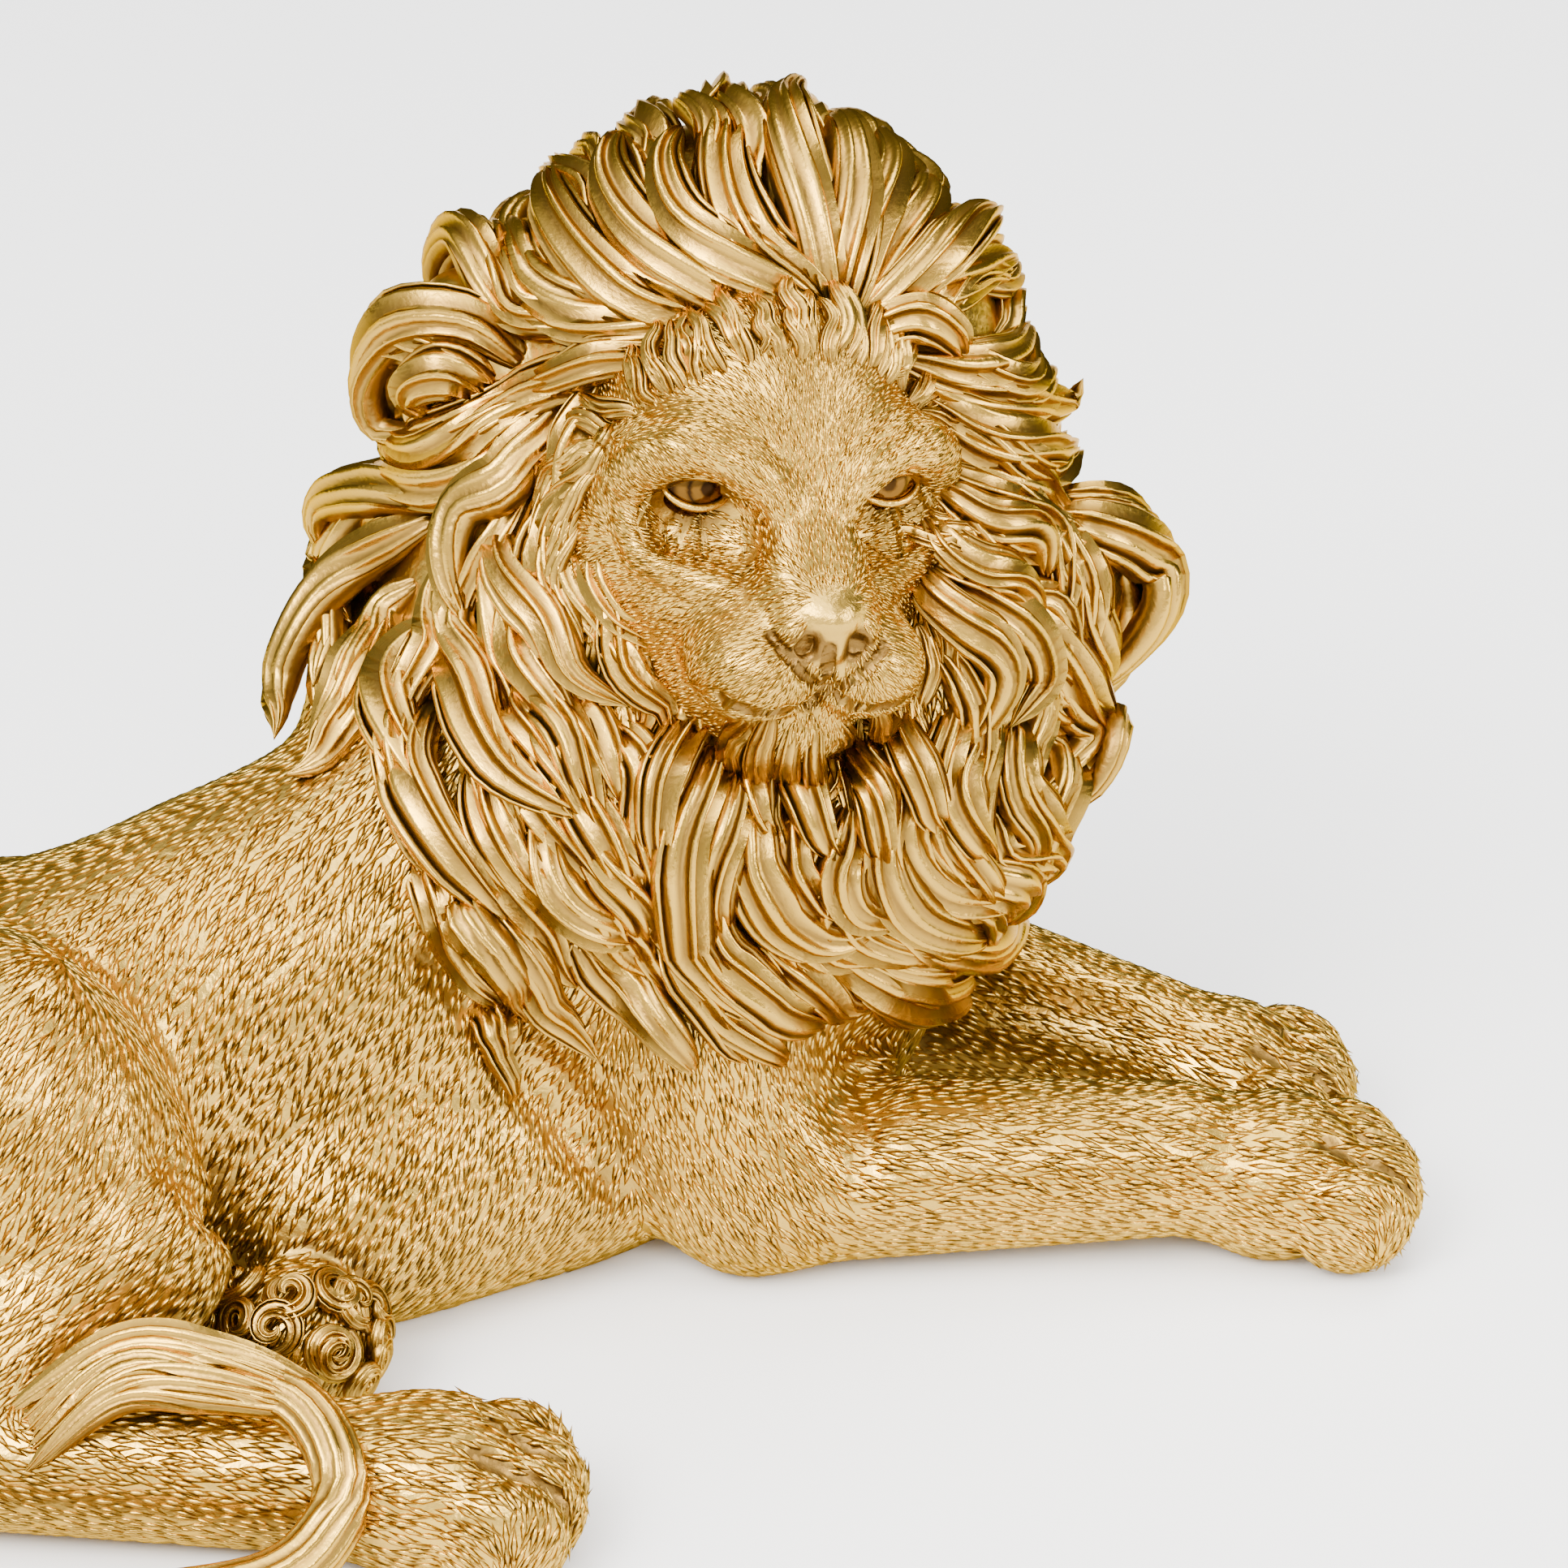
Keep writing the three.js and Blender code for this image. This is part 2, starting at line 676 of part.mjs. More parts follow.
// The path of a lock that no view shows: it runs with the hair, in a soft S.
function combedPath(form, root, length, phase) {
  const stride = length / LOCK_STEPS;
  const places = [];
  const p = root.clone();
  const way = hairFlow(p).normalize();
  for (let n = 0; n <= LOCK_STEPS; n++) {
    const normal = outward(form, p);
    p.addScaledVector(normal, -depthOf(form, p));
    way.lerp(hairFlow(p).normalize(), 0.5);
    way.addScaledVector(normal, -way.dot(normal)).normalize();
    const sway = LOCK_SWAY * Math.sin(2 * Math.PI * (n / LOCK_STEPS + phase));
    places.push(p.clone().addScaledVector(normal.clone().cross(way), sway));
    p.addScaledVector(way, stride);
  }
  return new THREE.CatmullRomCurve3(places);
}

function maneLocks() {
  const bulk = maneBulk();
  const figure = [...bulk, ...trunk(), ...forelegs()];
  const drawn = FRONT_LOCKS.map(
    (line) => new THREE.CatmullRomCurve3(line.map((place) => seenOn(figure, place))),
  );
  const taken = drawn.flatMap((path) =>
    path.getSpacedPoints(6).map((place, n) => ({ place, way: path.getTangentAt(n / 6) })),
  );
  const front = drawn.map((path, n) =>
    lock(figure, path, {
      width: LOCK_WIDTH * (0.92 + 0.16 * ((n * 0.37) % 1)),
      lift: LOCK_LIFT * (0.8 + 0.4 * ((n * 0.618) % 1)),
      flick: LOCK_FLICK * ((n * 0.29) % 1),
    }),
  );
  const back = maneRoots(bulk, taken).map(({ place }, n) => {
    const chance = (n * 0.618) % 1;
    const path = combedPath(bulk, place, LOCK_LENGTH * (0.85 + 0.3 * chance), chance);
    return lock(figure, path, {
      width: LOCK_WIDTH * (0.85 + 0.2 * ((n * 0.37) % 1)),
      lift: LOCK_LIFT * (0.6 + 0.35 * chance),
      flick: LOCK_FLICK * ((n * 0.29) % 1),
    });
  });
  return [...front, ...back];
}

// The tail leaves the rump, lies on the floor round the near hind foot and rises over it, and
// its tuft lies back along the foot.
function tail() {
  const route = new THREE.CatmullRomCurve3([
    vec(-152, -66, 34),
    vec(-168, -84, 18),
    vec(-170, -112, 8),
    vec(-146, -141, 6),
    vec(-106, -149, 6),
    vec(-76, -140, 6),
    vec(-69, -128, 14),
    vec(-76, -120, 27),
    vec(-90, -118, 29),
  ]);
  const steps = 16;
  const stations = [];
  for (let n = 0; n <= steps; n++) {
    const radius = THREE.MathUtils.lerp(TAIL_ROOT, TAIL_END, n / steps);
    stations.push({
      place: route.getPointAt(n / steps),
      face: UP,
      width: radius,
      thickness: radius,
    });
  }
  return rod(stations, 8);
}

function tailTuft() {
  const end = vec(-80, -119, 29);
  const strands = [-1, 0, 1];
  return strands.map((strand) => {
    const route = new THREE.QuadraticBezierCurve3(
      end,
      vec(-100, -118 - 2 * strand, 31 - 3 * strand),
      vec(-119, -122 - 3 * strand, 21 - 4 * strand),
    );
    const steps = 5;
    const stations = [];
    for (let n = 0; n <= steps; n++) {
      const share = n / steps;
      const girth = 0.45 + 0.75 * Math.sin(Math.PI * (0.15 + 0.75 * share));
      stations.push({
        place: route.getPointAt(share),
        face: UP,
        width: 5 * girth,
        thickness: 4 * girth,
      });
    }
    return rod(stations, 6);
  });
}

// Everything below the floor is cut away, so the underside is flat.
function floorBlock() {
  const block = new THREE.BoxGeometry(600, 600, 200);
  block.translate(0, 0, -100);
  block.deleteAttribute("normal");
  block.deleteAttribute("uv");
  const merged = mergeVertices(block);
  return solid(merged.attributes.position.array, merged.index.array);
}

function lion() {
  const form = [
    ...maneBulk(),
    ...face(),
    ...trunk(),
    ...forelegs(),
    ...hindlegs(),
    ...flankCurls(),
  ];
  const pieces = [
    skin(form, vec(-190, -155, -18), vec(107, 76, 198), FACET),
    ...maneLocks(),
    tail(),
    ...tailTuft(),
  ];
  return wasm.Manifold.union(pieces).subtract(floorBlock());
}

// The outermost skin of a mesh: the hollows that the locks close off between them are left out,
// as a casting is solid there.
function outermost(mesh) {
  const owner = Array.from({ length: mesh.numVert }, (_, n) => n);
  const find = (n) => {
    while (owner[n] !== n) n = owner[n] = owner[owner[n]];
    return n;
  };
  const faces = [];
  for (let t = 0; t < mesh.triVerts.length; t += 3) {
    const face = [...mesh.triVerts.slice(t, t + 3)];
    faces.push(face);
    owner[find(face[1])] = find(face[0]);
    owner[find(face[2])] = find(face[0]);
  }
  const counts = new Map();
  for (const face of faces) {
    const shell = find(face[0]);
    counts.set(shell, (counts.get(shell) || 0) + 1);
  }
  const largest = [...counts].sort((a, b) => b[1] - a[1])[0][0];
  return faces.filter((face) => find(face[0]) === largest);
}

const crossNormal = (a, b, c) => b.clone().sub(a).cross(c.clone().sub(a));

// The error of a place is its squared distance to the planes of the faces that met there, kept
// as the ten terms of a quadratic in x, y and z.
function planeTerms(normal, offset, weight) {
  const plane = [normal.x, normal.y, normal.z, offset];
  const terms = [];
  for (let i = 0; i < 4; i++)
    for (let j = i; j < 4; j++) terms.push(plane[i] * plane[j] * weight);
  return terms;
}

function errorAt(terms, p) {
  const q = [p.x, p.y, p.z, 1];
  let error = 0;
  let n = 0;
  for (let i = 0; i < 4; i++)
    for (let j = i; j < 4; j++)
      error += terms[n++] * q[i] * q[j] * (i === j ? 1 : 2);
  return Math.abs(error);
}

// Draws the two ends of an edge together, where that changes the shape least, again and again
// until few enough triangles are left. Points on the floor stay on it.
function lightened(points, faces, most) {
  const terms = points.map(() => new Array(10).fill(0));
  const facesAt = points.map(() => new Set());
  const join = (target, extra) => extra.forEach((term, n) => (target[n] += term));
  faces.forEach((face, t) => {
    const corners = face.map((v) => points[v]);
    const normal = crossNormal(...corners);
    const area = normal.length();
    normal.normalize();
    const plane = planeTerms(normal, -normal.dot(corners[0]), area);
    face.forEach((v) => {
      join(terms[v], plane);
      facesAt[v].add(t);
    });
  });
  const onFloor = (p) => Math.abs(p.z) < 1e-3;
  const neighbours = (v) =>
    new Set([...facesAt[v]].flatMap((t) => faces[t].filter((w) => w !== v)));
  const best = (a, b) => {
    const both = terms[a].map((term, n) => term + terms[b][n]);
    const [p, q] = [points[a], points[b]];
    let choices = [p, q, p.clone().lerp(q, 0.5)];
    if (onFloor(p) !== onFloor(q)) choices = [onFloor(p) ? p : q];
    const short = p.distanceToSquared(q) * SHORT_EDGE_PREFERENCE;
    return choices
      .map((place) => ({ a, b, place, cost: errorAt(both, place) + short }))
      .sort((one, two) => one.cost - two.cost)[0];
  };
  const allowed = ({ a, b, place }) => {
    const ringB = neighbours(b);
    const shared = [...neighbours(a)].filter((v) => ringB.has(v));
    if (shared.length !== 2) return false;
    return [a, b].every((v) =>
      [...facesAt[v]].every((t) => {
        const face = faces[t];
        if (face.includes(a) && face.includes(b)) return true;
        const before = face.map((w) => points[w]);
        const after = face.map((w) => (w === v ? place : points[w]));
        const old = crossNormal(...before);
        const fresh = crossNormal(...after);
        const longest = Math.max(
          ...after.map((p, n) => p.distanceToSquared(after[(n + 1) % 3])),
        );
        const thin = fresh.length() < 0.02 * longest;
        return !thin && old.dot(fresh) > 0;
      }),
    );
  };
  let left = faces.length;
  let idle = 0;
  while (left > most && idle < 2) {
    const edges = [];
    faces.forEach((face) => {
      if (!face) return;
      face.forEach((a, n) => {
        const b = face[(n + 1) % 3];
        if (a < b) edges.push(best(a, b));
      });
    });
    edges.sort((one, two) => one.cost - two.cost);
    const touched = new Set();
    const before = left;
    for (const edge of edges.slice(0, Math.ceil(edges.length * 0.35))) {
      const { a, b, place } = edge;
      if (left <= most) break;
      if (touched.has(a) || touched.has(b) || !allowed(edge)) continue;
      for (const t of [...facesAt[b]]) {
        if (faces[t].includes(a)) {
          faces[t].forEach((v) => facesAt[v].delete(t));
          faces[t] = null;
          left--;
          continue;
        }
        faces[t] = faces[t].map((v) => (v === b ? a : v));
        facesAt[a].add(t);
      }
      facesAt[b].clear();
      points[a] = place.clone();
      join(terms[a], terms[b]);
      touched.add(a);
      neighbours(a).forEach((v) => touched.add(v));
    }
    idle = before === left ? idle + 1 : 0;
  }
  return faces.filter((face) => face);
}

// The casting as a geometry at its real size, set down over the middle of its footprint.
function figureGeometry() {
  const mesh = lion().getMesh();
  const points = [];
  for (let n = 0; n < mesh.numVert; n++)
    points.push(vec(...mesh.vertProperties.slice(3 * n, 3 * n + 3)));
  const faces = lightened(points, outermost(mesh), TRIANGLES);
  const geometry = new THREE.BufferGeometry().setFromPoints(
    faces.flatMap((face) => face.map((v) => points[v])),
  );
  const size = HEIGHT / GRID_HIGH;
  geometry.scale(size, size, size);
  geometry.computeBoundingBox();
  const middle = geometry.boundingBox.getCenter(new THREE.Vector3());
  geometry.translate(-middle.x, -middle.y, 0);
  geometry.computeVertexNormals();
  return geometry;
}

const gold = new THREE.MeshStandardMaterial({
  color: new THREE.Color(0.86, 0.63, 0.27),
  metalness: 1,
  roughness: 0.32,
});

const figure = new THREE.Mesh(figureGeometry(), gold);
figure.name = "lion";
const group = new THREE.Group();
group.add(figure);

export default group;
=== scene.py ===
import math
import bmesh
import bpy
import numpy as np
from mathutils import Matrix, Vector
from mathutils.kdtree import KDTree


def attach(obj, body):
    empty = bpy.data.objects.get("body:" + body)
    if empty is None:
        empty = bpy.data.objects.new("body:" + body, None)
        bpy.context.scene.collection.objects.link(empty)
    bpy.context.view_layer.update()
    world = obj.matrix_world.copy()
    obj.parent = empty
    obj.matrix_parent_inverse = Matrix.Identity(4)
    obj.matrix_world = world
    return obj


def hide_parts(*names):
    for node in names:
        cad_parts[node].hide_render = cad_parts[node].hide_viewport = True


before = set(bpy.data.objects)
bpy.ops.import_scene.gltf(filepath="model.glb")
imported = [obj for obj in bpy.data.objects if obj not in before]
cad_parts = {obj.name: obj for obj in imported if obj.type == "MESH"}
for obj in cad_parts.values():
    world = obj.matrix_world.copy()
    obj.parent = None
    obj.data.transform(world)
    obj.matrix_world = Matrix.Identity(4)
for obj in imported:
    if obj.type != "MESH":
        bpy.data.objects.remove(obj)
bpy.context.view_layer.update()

bl_info = {
    "name": "Gold lion figurine",
    "version": (1, 0, 0),
    "blender": (4, 5, 0),
    "location": "3D View > Sidebar > Lion",
    "description": "Dresses the cast lion's frame with its carved gold surface",
    "category": "Object",
}

# The clay is worked out in millimetres on the modeller's grid. The figure's frame has its
# origin under the middle of its box, which is this place on the grid.
MM = 0.001
GRID_MIDDLE = np.array([-37.54, -50.66, 0.0])

# The photograph's camera on the modeller's grid.
VIEW_TARGET = np.array([0.0, 0.0, 70.0])
VIEW_DISTANCE = 1000.0
VIEW_ELEVATION = math.radians(25)
VIEW_FOCUS = 7500.0
VIEW_WIDTH = 1932
VIEW_SEARCH = 160
SENSOR = 36.0

TETRAHEDRON = np.array([[1, -1, -1], [-1, -1, 1], [-1, 1, -1], [1, 1, 1]], float)


def unit(v):
    return v / np.maximum(np.linalg.norm(v, axis=-1, keepdims=True), 1e-9)


def smoothstep(x, low, high):
    t = np.clip((x - low) / (high - low), 0, 1)
    return t * t * (3 - 2 * t)


def on_surface(ways, normals):
    """Directions without what points into or out of the surface."""
    return unit(ways - (ways * normals).sum(1, keepdims=True) * normals)


def tree_of(points):
    tree = KDTree(len(points))
    for n, p in enumerate(points):
        tree.insert(p, n)
    tree.balance()
    return tree


# The clay: rounded masses that are joined softly or carved out, in order.
class Stroke:
    """A rounded mass that is added to the clay, or carved out of it, with a soft join."""

    def __init__(self, depth, rough, centre, reach, blend, carve=False):
        self.depth = depth
        self.rough = rough
        self.centre = centre
        self.reach = reach
        self.blend = blend
        self.carve = carve


def mass(centre, radii, blend, turn=None):
    """An egg-shaped mass, with its radii along the three rows of turn."""
    centre, radii = np.array(centre, float), np.array(radii, float)
    turn = np.eye(3) if turn is None else turn

    def depth(p):
        local = (p - centre) @ turn.T / radii
        reach = np.sqrt((local**2).sum(1))
        slope = np.sqrt(((local / radii) ** 2).sum(1))
        return reach * (reach - 1) / np.maximum(slope, 1e-6)

    def rough(bm):
        place = Matrix(turn.T.tolist()).to_4x4() @ Matrix.Diagonal((*radii, 1))
        place.translation = Vector(centre)
        bmesh.ops.create_icosphere(bm, subdivisions=3, radius=1, matrix=place)

    return Stroke(depth, rough, centre, radii.max(), blend)


def limb(start, end, start_radius, end_radius, blend):
    """A limb with round ends, from one joint to the next."""
    start, end = np.array(start, float), np.array(end, float)
    along = end - start
    length = np.linalg.norm(along)

    def depth(p):
        offset = p - start
        share = np.clip(offset @ along / (along @ along), 0, 1)
        radius = start_radius + (end_radius - start_radius) * share
        return np.linalg.norm(offset - share[:, None] * along, axis=1) - radius

    def rough(bm):
        for joint, radius in ((start, start_radius), (end, end_radius)):
            place = Matrix.Translation(Vector(joint))
            bmesh.ops.create_icosphere(bm, subdivisions=2, radius=radius, matrix=place)
        turn = Vector(along).to_track_quat("Z", "Y").to_matrix().to_4x4()
        place = Matrix.Translation(Vector((start + end) / 2)) @ turn
        bmesh.ops.create_cone(
            bm, cap_ends=True, segments=20, radius1=start_radius,
            radius2=end_radius, depth=length, matrix=place,
        )

    reach = length / 2 + max(start_radius, end_radius)
    return Stroke(depth, rough, (start + end) / 2, reach, blend)


def limbs(route, radius, blend):
    """Limbs of one thickness along a route."""
    return [limb(a, b, radius, radius, blend) for a, b in zip(route, route[1:])]


def carved(stroke):
    return Stroke(stroke.depth, stroke.rough, stroke.centre, stroke.reach, stroke.blend, True)


def soft_min(a, b, blend):
    near = np.maximum(blend - np.abs(a - b), 0) / blend
    return np.minimum(a, b) - near * near * blend * 0.25


def depth_of(form, p):
    """The depth of points in a form: negative inside it."""
    depth = np.full(len(p), 1e3)
    for stroke in form:
        to_spare = -depth if stroke.carve else depth
        nearest = np.linalg.norm(p - stroke.centre, axis=1) - stroke.reach
        near = nearest < to_spare + stroke.blend
        if not near.any():
            continue
        own = stroke.depth(p[near])
        if stroke.carve:
            depth[near] = -soft_min(-depth[near], own, stroke.blend)
        else:
            depth[near] = soft_min(depth[near], own, stroke.blend)
    return depth


def slope_of(form, p, step=0.35):
    """The direction in which the depth grows, with its steepness as length."""
    slope = np.zeros_like(p)
    for corner in TETRAHEDRON:
        slope += corner * depth_of(form, p + step * corner)[:, None]
    return slope / (4 * step)


def settled(form, p, rounds=3, longest=4.0):
    """Points moved on to the form's surface."""
    p = p.copy()
    for _ in range(rounds):
        slope = slope_of(form, p)
        size = (slope**2).sum(1)
        step = -slope * (depth_of(form, p) / np.maximum(size, 0.05))[:, None]
        span = np.linalg.norm(step, axis=1, keepdims=True)
        p += step * np.minimum(1, longest / np.maximum(span, 1e-9))
    return p


def turned(heading, pitch=0.0):
    """Three directions turned by a heading about Z, then tipped up by a pitch."""
    h, p = math.radians(heading), math.radians(pitch)
    ahead = [math.cos(h) * math.cos(p), math.sin(h) * math.cos(p), math.sin(p)]
    across = [-math.sin(h), math.cos(h), 0]
    return np.array([ahead, across, np.cross(ahead, across)])


# The head has its own axes: sideways to the viewer's right, forwards along the nose, and up.
HEAD_CENTRE = np.array([-8, -12, 122.7])
HEAD_YAW = math.radians(21)
HEAD_ROLL = math.radians(7)


def head_axes():
    forward = np.array([math.sin(HEAD_YAW), -math.cos(HEAD_YAW), 0])
    roll = Matrix.Rotation(-HEAD_ROLL, 3, Vector(forward))
    up = np.array(roll @ Vector((0, 0, 1)))
    return np.array([np.cross(up, forward), forward, up])


HEAD = head_axes()


def on_head(place, side=1):
    """A place given in the head's own axes, on its one side or the other."""
    return HEAD_CENTRE + np.array((side * place[0], *place[1:]), float) @ HEAD


def in_head(p):
    """Points in the head's own axes."""
    return (p - HEAD_CENTRE) @ HEAD.T


def face_reach(away, across, up):
    """How far out points lie, seen along the nose, as a share of an oval round the face."""
    return np.hypot((away @ HEAD[0]) / across, (away @ HEAD[2] - 6) / up)


def mane_bulk():
    """The bulk of the mane under its locks, with a hollow in which the face sits."""
    along = turned(28)
    blend = 14
    return [
        mass((-7, 12, 129), (45, 38, 50), blend),
        mass((-9, 4, 104), (56, 42, 38), blend),
        mass((9, -13, 76), (33, 28, 32), blend),
        mass((-40, 4, 84), (29, 28, 19), blend, along),
        mass((-24, -20, 77), (36, 28, 27), blend, along),
        mass((-57, 0, 90), (17, 24, 13), blend, along),
        mass((-50, 4, 145), (11, 14, 13), 8),
        mass((46, 1, 106), (9, 12, 15), 8),
        carved(mass(on_head((0, 38, -2)), (27, 26, 38), 6, HEAD)),
    ]


# The eyes, in the head's own axes. A lid's points are in degrees outwards and upwards round
# the eyeball.
EYE = (15.7, 18.7, 13.7)
LID_RADIUS = 6.3
EYEBALL = 5.95
UPPER_LID = [(-76, -12), (-46, 10), (-14, 21), (18, 25), (46, 19), (78, 7)]
LOWER_LID = [(-76, -10), (-38, -20), (-4, -27), (28, -24), (54, -12), (78, 6)]
NOSTRIL = (4.3, 44.6, -4.6)


def lid_point(out, up):
    out, up = math.radians(out), math.radians(up)
    return (
        EYE[0] + LID_RADIUS * math.sin(out) * math.cos(up),
        EYE[1] + LID_RADIUS * math.cos(out) * math.cos(up),
        EYE[2] + LID_RADIUS * math.sin(up),
    )


def face():
    """The lion's face, forehead to chin."""

    def knob(place, radii, blend, side=1):
        return mass(on_head(place, side), radii, blend, HEAD)

    def ridge(route, side, radius, blend):
        return limbs([on_head(place, side) for place in route], radius, blend)

    socket_rim = [
        (17, 20.5, 20.5), (23.5, 15, 16), (24, 13.5, 8), (19.5, 18.5, 0), (13, 25.5, -2),
    ]
    brow = [(5, 29, 14.2), (10, 26.8, 18), (16, 24, 20.2), (22.5, 17.5, 19)]
    strokes = [
        knob((0, -4, 7), (29, 29, 31), 8),
        knob((0, 8, 20), (22, 17, 21), 8),
        knob((0, 13, -1), (28, 20, 25), 8),
        knob((0, 14, -19), (20, 20, 12), 7),
        knob((0, 30, -7), (15, 14, 10), 7),
        knob((0, 31, -21.5), (10.5, 9, 7.5), 4),
    ]
    for side in (-1, 1):
        strokes += [
            limb(on_head((3.6, 17.5, 17), side), on_head((3.5, 37.5, 0.8), side), 7, 5, 4),
            knob((22, 2, -6), (10, 14, 20), 7, side),
            knob((12.5, 19.5, 21.5), (8, 6, 4.4), 5, side),
            knob((9, 35.2, -10.8), (10, 10.8, 8.6), 3, side),
            carved(knob((16, 28, 9), (8.5, 6.5, 9), 6, side)),
            *ridge(socket_rim, side, 3, 5),
            *ridge(brow, side, 3.3, 2.5),
            knob(EYE, (5.6, 5.6, 5.6), 1.5, side),
        ]
    strokes.append(knob((0, 40.2, -0.6), (5.4, 6, 4.2), 3))
    strokes.append(knob((0, 42.4, -4.6), (3.0, 3.6, 3.8), 1.2))
    strokes += [knob((5.6, 40.2, -3), (2.9, 4.6, 3.4), 1.2, side) for side in (-1, 1)]
    strokes += [carved(knob(NOSTRIL, (1.7, 3.6, 1.9), 0.8, side)) for side in (-1, 1)]
    return strokes


# The joints of the legs on the modeller's grid, and how thick the legs are there.
TRUNK_HEADING = 28
ELBOW, WRIST, FOREPAW = 15.5, 12.4, 15.0
HIND_SHANK, HIND_FOOT, HIND_PAW = 13.5, 11.5, 14.5
NEAR_ELBOW, NEAR_WRIST, NEAR_FOREPAW = (-5, -34, 16.5), (64, -30, 16.5), (83.5, -29, 13)
FAR_ELBOW, FAR_WRIST, FAR_FOREPAW = (6, 34, 21), (60, 9, 17), (76, 5, 13.5)
NEAR_KNEE, NEAR_HOCK, NEAR_HIND_PAW = (-101, -92, 34), (-134, -116, 14), (-50, -124, 12)
FAR_KNEE, FAR_HOCK, FAR_HIND_PAW = (-98, 0, 30), (-147, -20, 14), (-84, 14, 12)
NEAR_THIGH, FAR_THIGH = (-123, -78, 43), (-128, -28, 38)
NEAR_SHOULDER, FAR_SHOULDER = (-18, -31, 46), (-10, 32, 44)
FLANK_TUFT = (-76, -80, 12)


def trunk():
    along = turned(TRUNK_HEADING)
    return [
        mass((-6, 0, 48), (34, 35, 42), 12),
        mass((-48, -16, 50), (54, 35, 45.5), 14, along),
        mass((-90, -38, 45), (38, 30, 38), 14, along),
        mass((-122, -54, 42), (36, 34, 35.5), 12, along),
        mass((-141, -63, 34), (25, 29, 29), 12, along),
        mass((-40, 0, 80), (30, 20, 20), 14, along),
        mass((-60, -26, 12), (90, 26, 20), 10, along),
        mass((-42, -32, 20), (36, 22, 19), 8, turned(30)),
        mass((-68, -44, 22), (36, 26, 23), 8, turned(40)),
    ]


TOE = 5.0
TOE_PITCH = 1.55
CLEFT_RADIUS = 1.5
# A cleft's course over a paw: ahead of the paw's middle and above it, as shares of its girth.
CLEFT_COURSE = [(0.34, 0.66), (0.74, 0.48), (1.08, 0.16), (1.3, -0.4)]
CLEFTS = []


def paw(centre, heading, girth):
    """A low pad with four toes across its front, the middle two furthest out."""
    turn = turned(heading)

    def place(*offset):
        return np.array(centre) + np.array(offset) @ turn

    strokes = [mass(place(-3, 0, 0), (girth * 1.1, girth * 0.98, girth * 0.9), 5, turn)]
    for toe in (-1.5, -0.5, 0.5, 1.5):
        ahead = girth * (0.74 - 0.08 * toe * toe)
        spot = place(ahead, toe * TOE * TOE_PITCH, -2)
        strokes.append(mass(spot, (TOE * 2, TOE * 1.04, TOE * 1.85), 1.2, turn))
    for cleft in (-1, 0, 1):
        spots = [place(girth * a, cleft * TOE * TOE_PITCH, girth * b) for a, b in CLEFT_COURSE]
        CLEFTS.append(spots)
        strokes += [carved(stroke) for stroke in limbs(spots, CLEFT_RADIUS, 1.8)]
    return strokes


def legs():
    return [
        mass((-20, -28, 54), (26, 15, 30), 5, turned(0, -14)),
        limb(NEAR_SHOULDER, NEAR_ELBOW, 19, ELBOW, 8),
        limb(NEAR_ELBOW, NEAR_WRIST, ELBOW, WRIST, 6),
        mass((-14, 30, 52), (25, 16, 30), 6),
        limb(FAR_SHOULDER, FAR_ELBOW, 20, ELBOW, 8),
        limb(FAR_ELBOW, FAR_WRIST, ELBOW * 1.2, WRIST, 6),
        *paw(NEAR_FOREPAW, 0, FOREPAW),
        *paw(FAR_FOREPAW, -8, FOREPAW * 0.95),
        mass(NEAR_THIGH, (33, 24, 37), 6, turned(-30, 8)),
        limb(NEAR_THIGH, NEAR_KNEE, 22, 15.5, 8),
        limb(NEAR_KNEE, NEAR_HOCK, HIND_SHANK, HIND_FOOT, 6),
        limb(NEAR_HOCK, NEAR_HIND_PAW, HIND_FOOT, HIND_FOOT, 5),
        mass(FAR_THIGH, (32, 20, 30), 6, turned(TRUNK_HEADING)),
        limb(FAR_THIGH, FAR_KNEE, 20, 15, 8),
        limb(FAR_KNEE, FAR_HOCK, HIND_SHANK, HIND_FOOT, 6),
        limb(FAR_HOCK, FAR_HIND_PAW, HIND_FOOT, HIND_FOOT, 5),
        *paw(NEAR_HIND_PAW, 0, HIND_PAW),
        *paw(FAR_HIND_PAW, TRUNK_HEADING, HIND_PAW * 0.9),
        mass(FLANK_TUFT, (12, 12.5, 12), 3),
        mass((-84.5, -92.5, 8.5), (4.2, 4, 6), 1),
    ]


MANE_FORM = mane_bulk()


# Meshes, and how one becomes a piece of the lion.
def coords_of(mesh):
    co = np.empty(len(mesh.vertices) * 3, np.float32)
    mesh.vertices.foreach_get("co", co)
    return co.reshape(-1, 3).astype(float)


def triangles_of(mesh):
    mesh.calc_loop_triangles()
    tri = np.empty(len(mesh.loop_triangles) * 3, np.int32)
    mesh.loop_triangles.foreach_get("vertices", tri)
    return tri.reshape(-1, 3)


def mesh_of(bm, name):
    mesh = bpy.data.meshes.new(name)
    bm.to_mesh(mesh)
    bm.free()
    return mesh


def placed(name, data):
    """A new object in the scene."""
    obj = bpy.data.objects.new(name, data)
    bpy.context.scene.collection.objects.link(obj)
    return obj


def modified(mesh, kind, **values):
    """A new mesh: the given one with a modifier applied."""
    obj = placed("work", mesh)
    modifier = obj.modifiers.new("work", kind)
    for key, value in values.items():
        setattr(modifier, key, value)
    depsgraph = bpy.context.evaluated_depsgraph_get()
    fresh = bpy.data.meshes.new_from_object(obj.evaluated_get(depsgraph))
    bpy.data.objects.remove(obj)
    return fresh


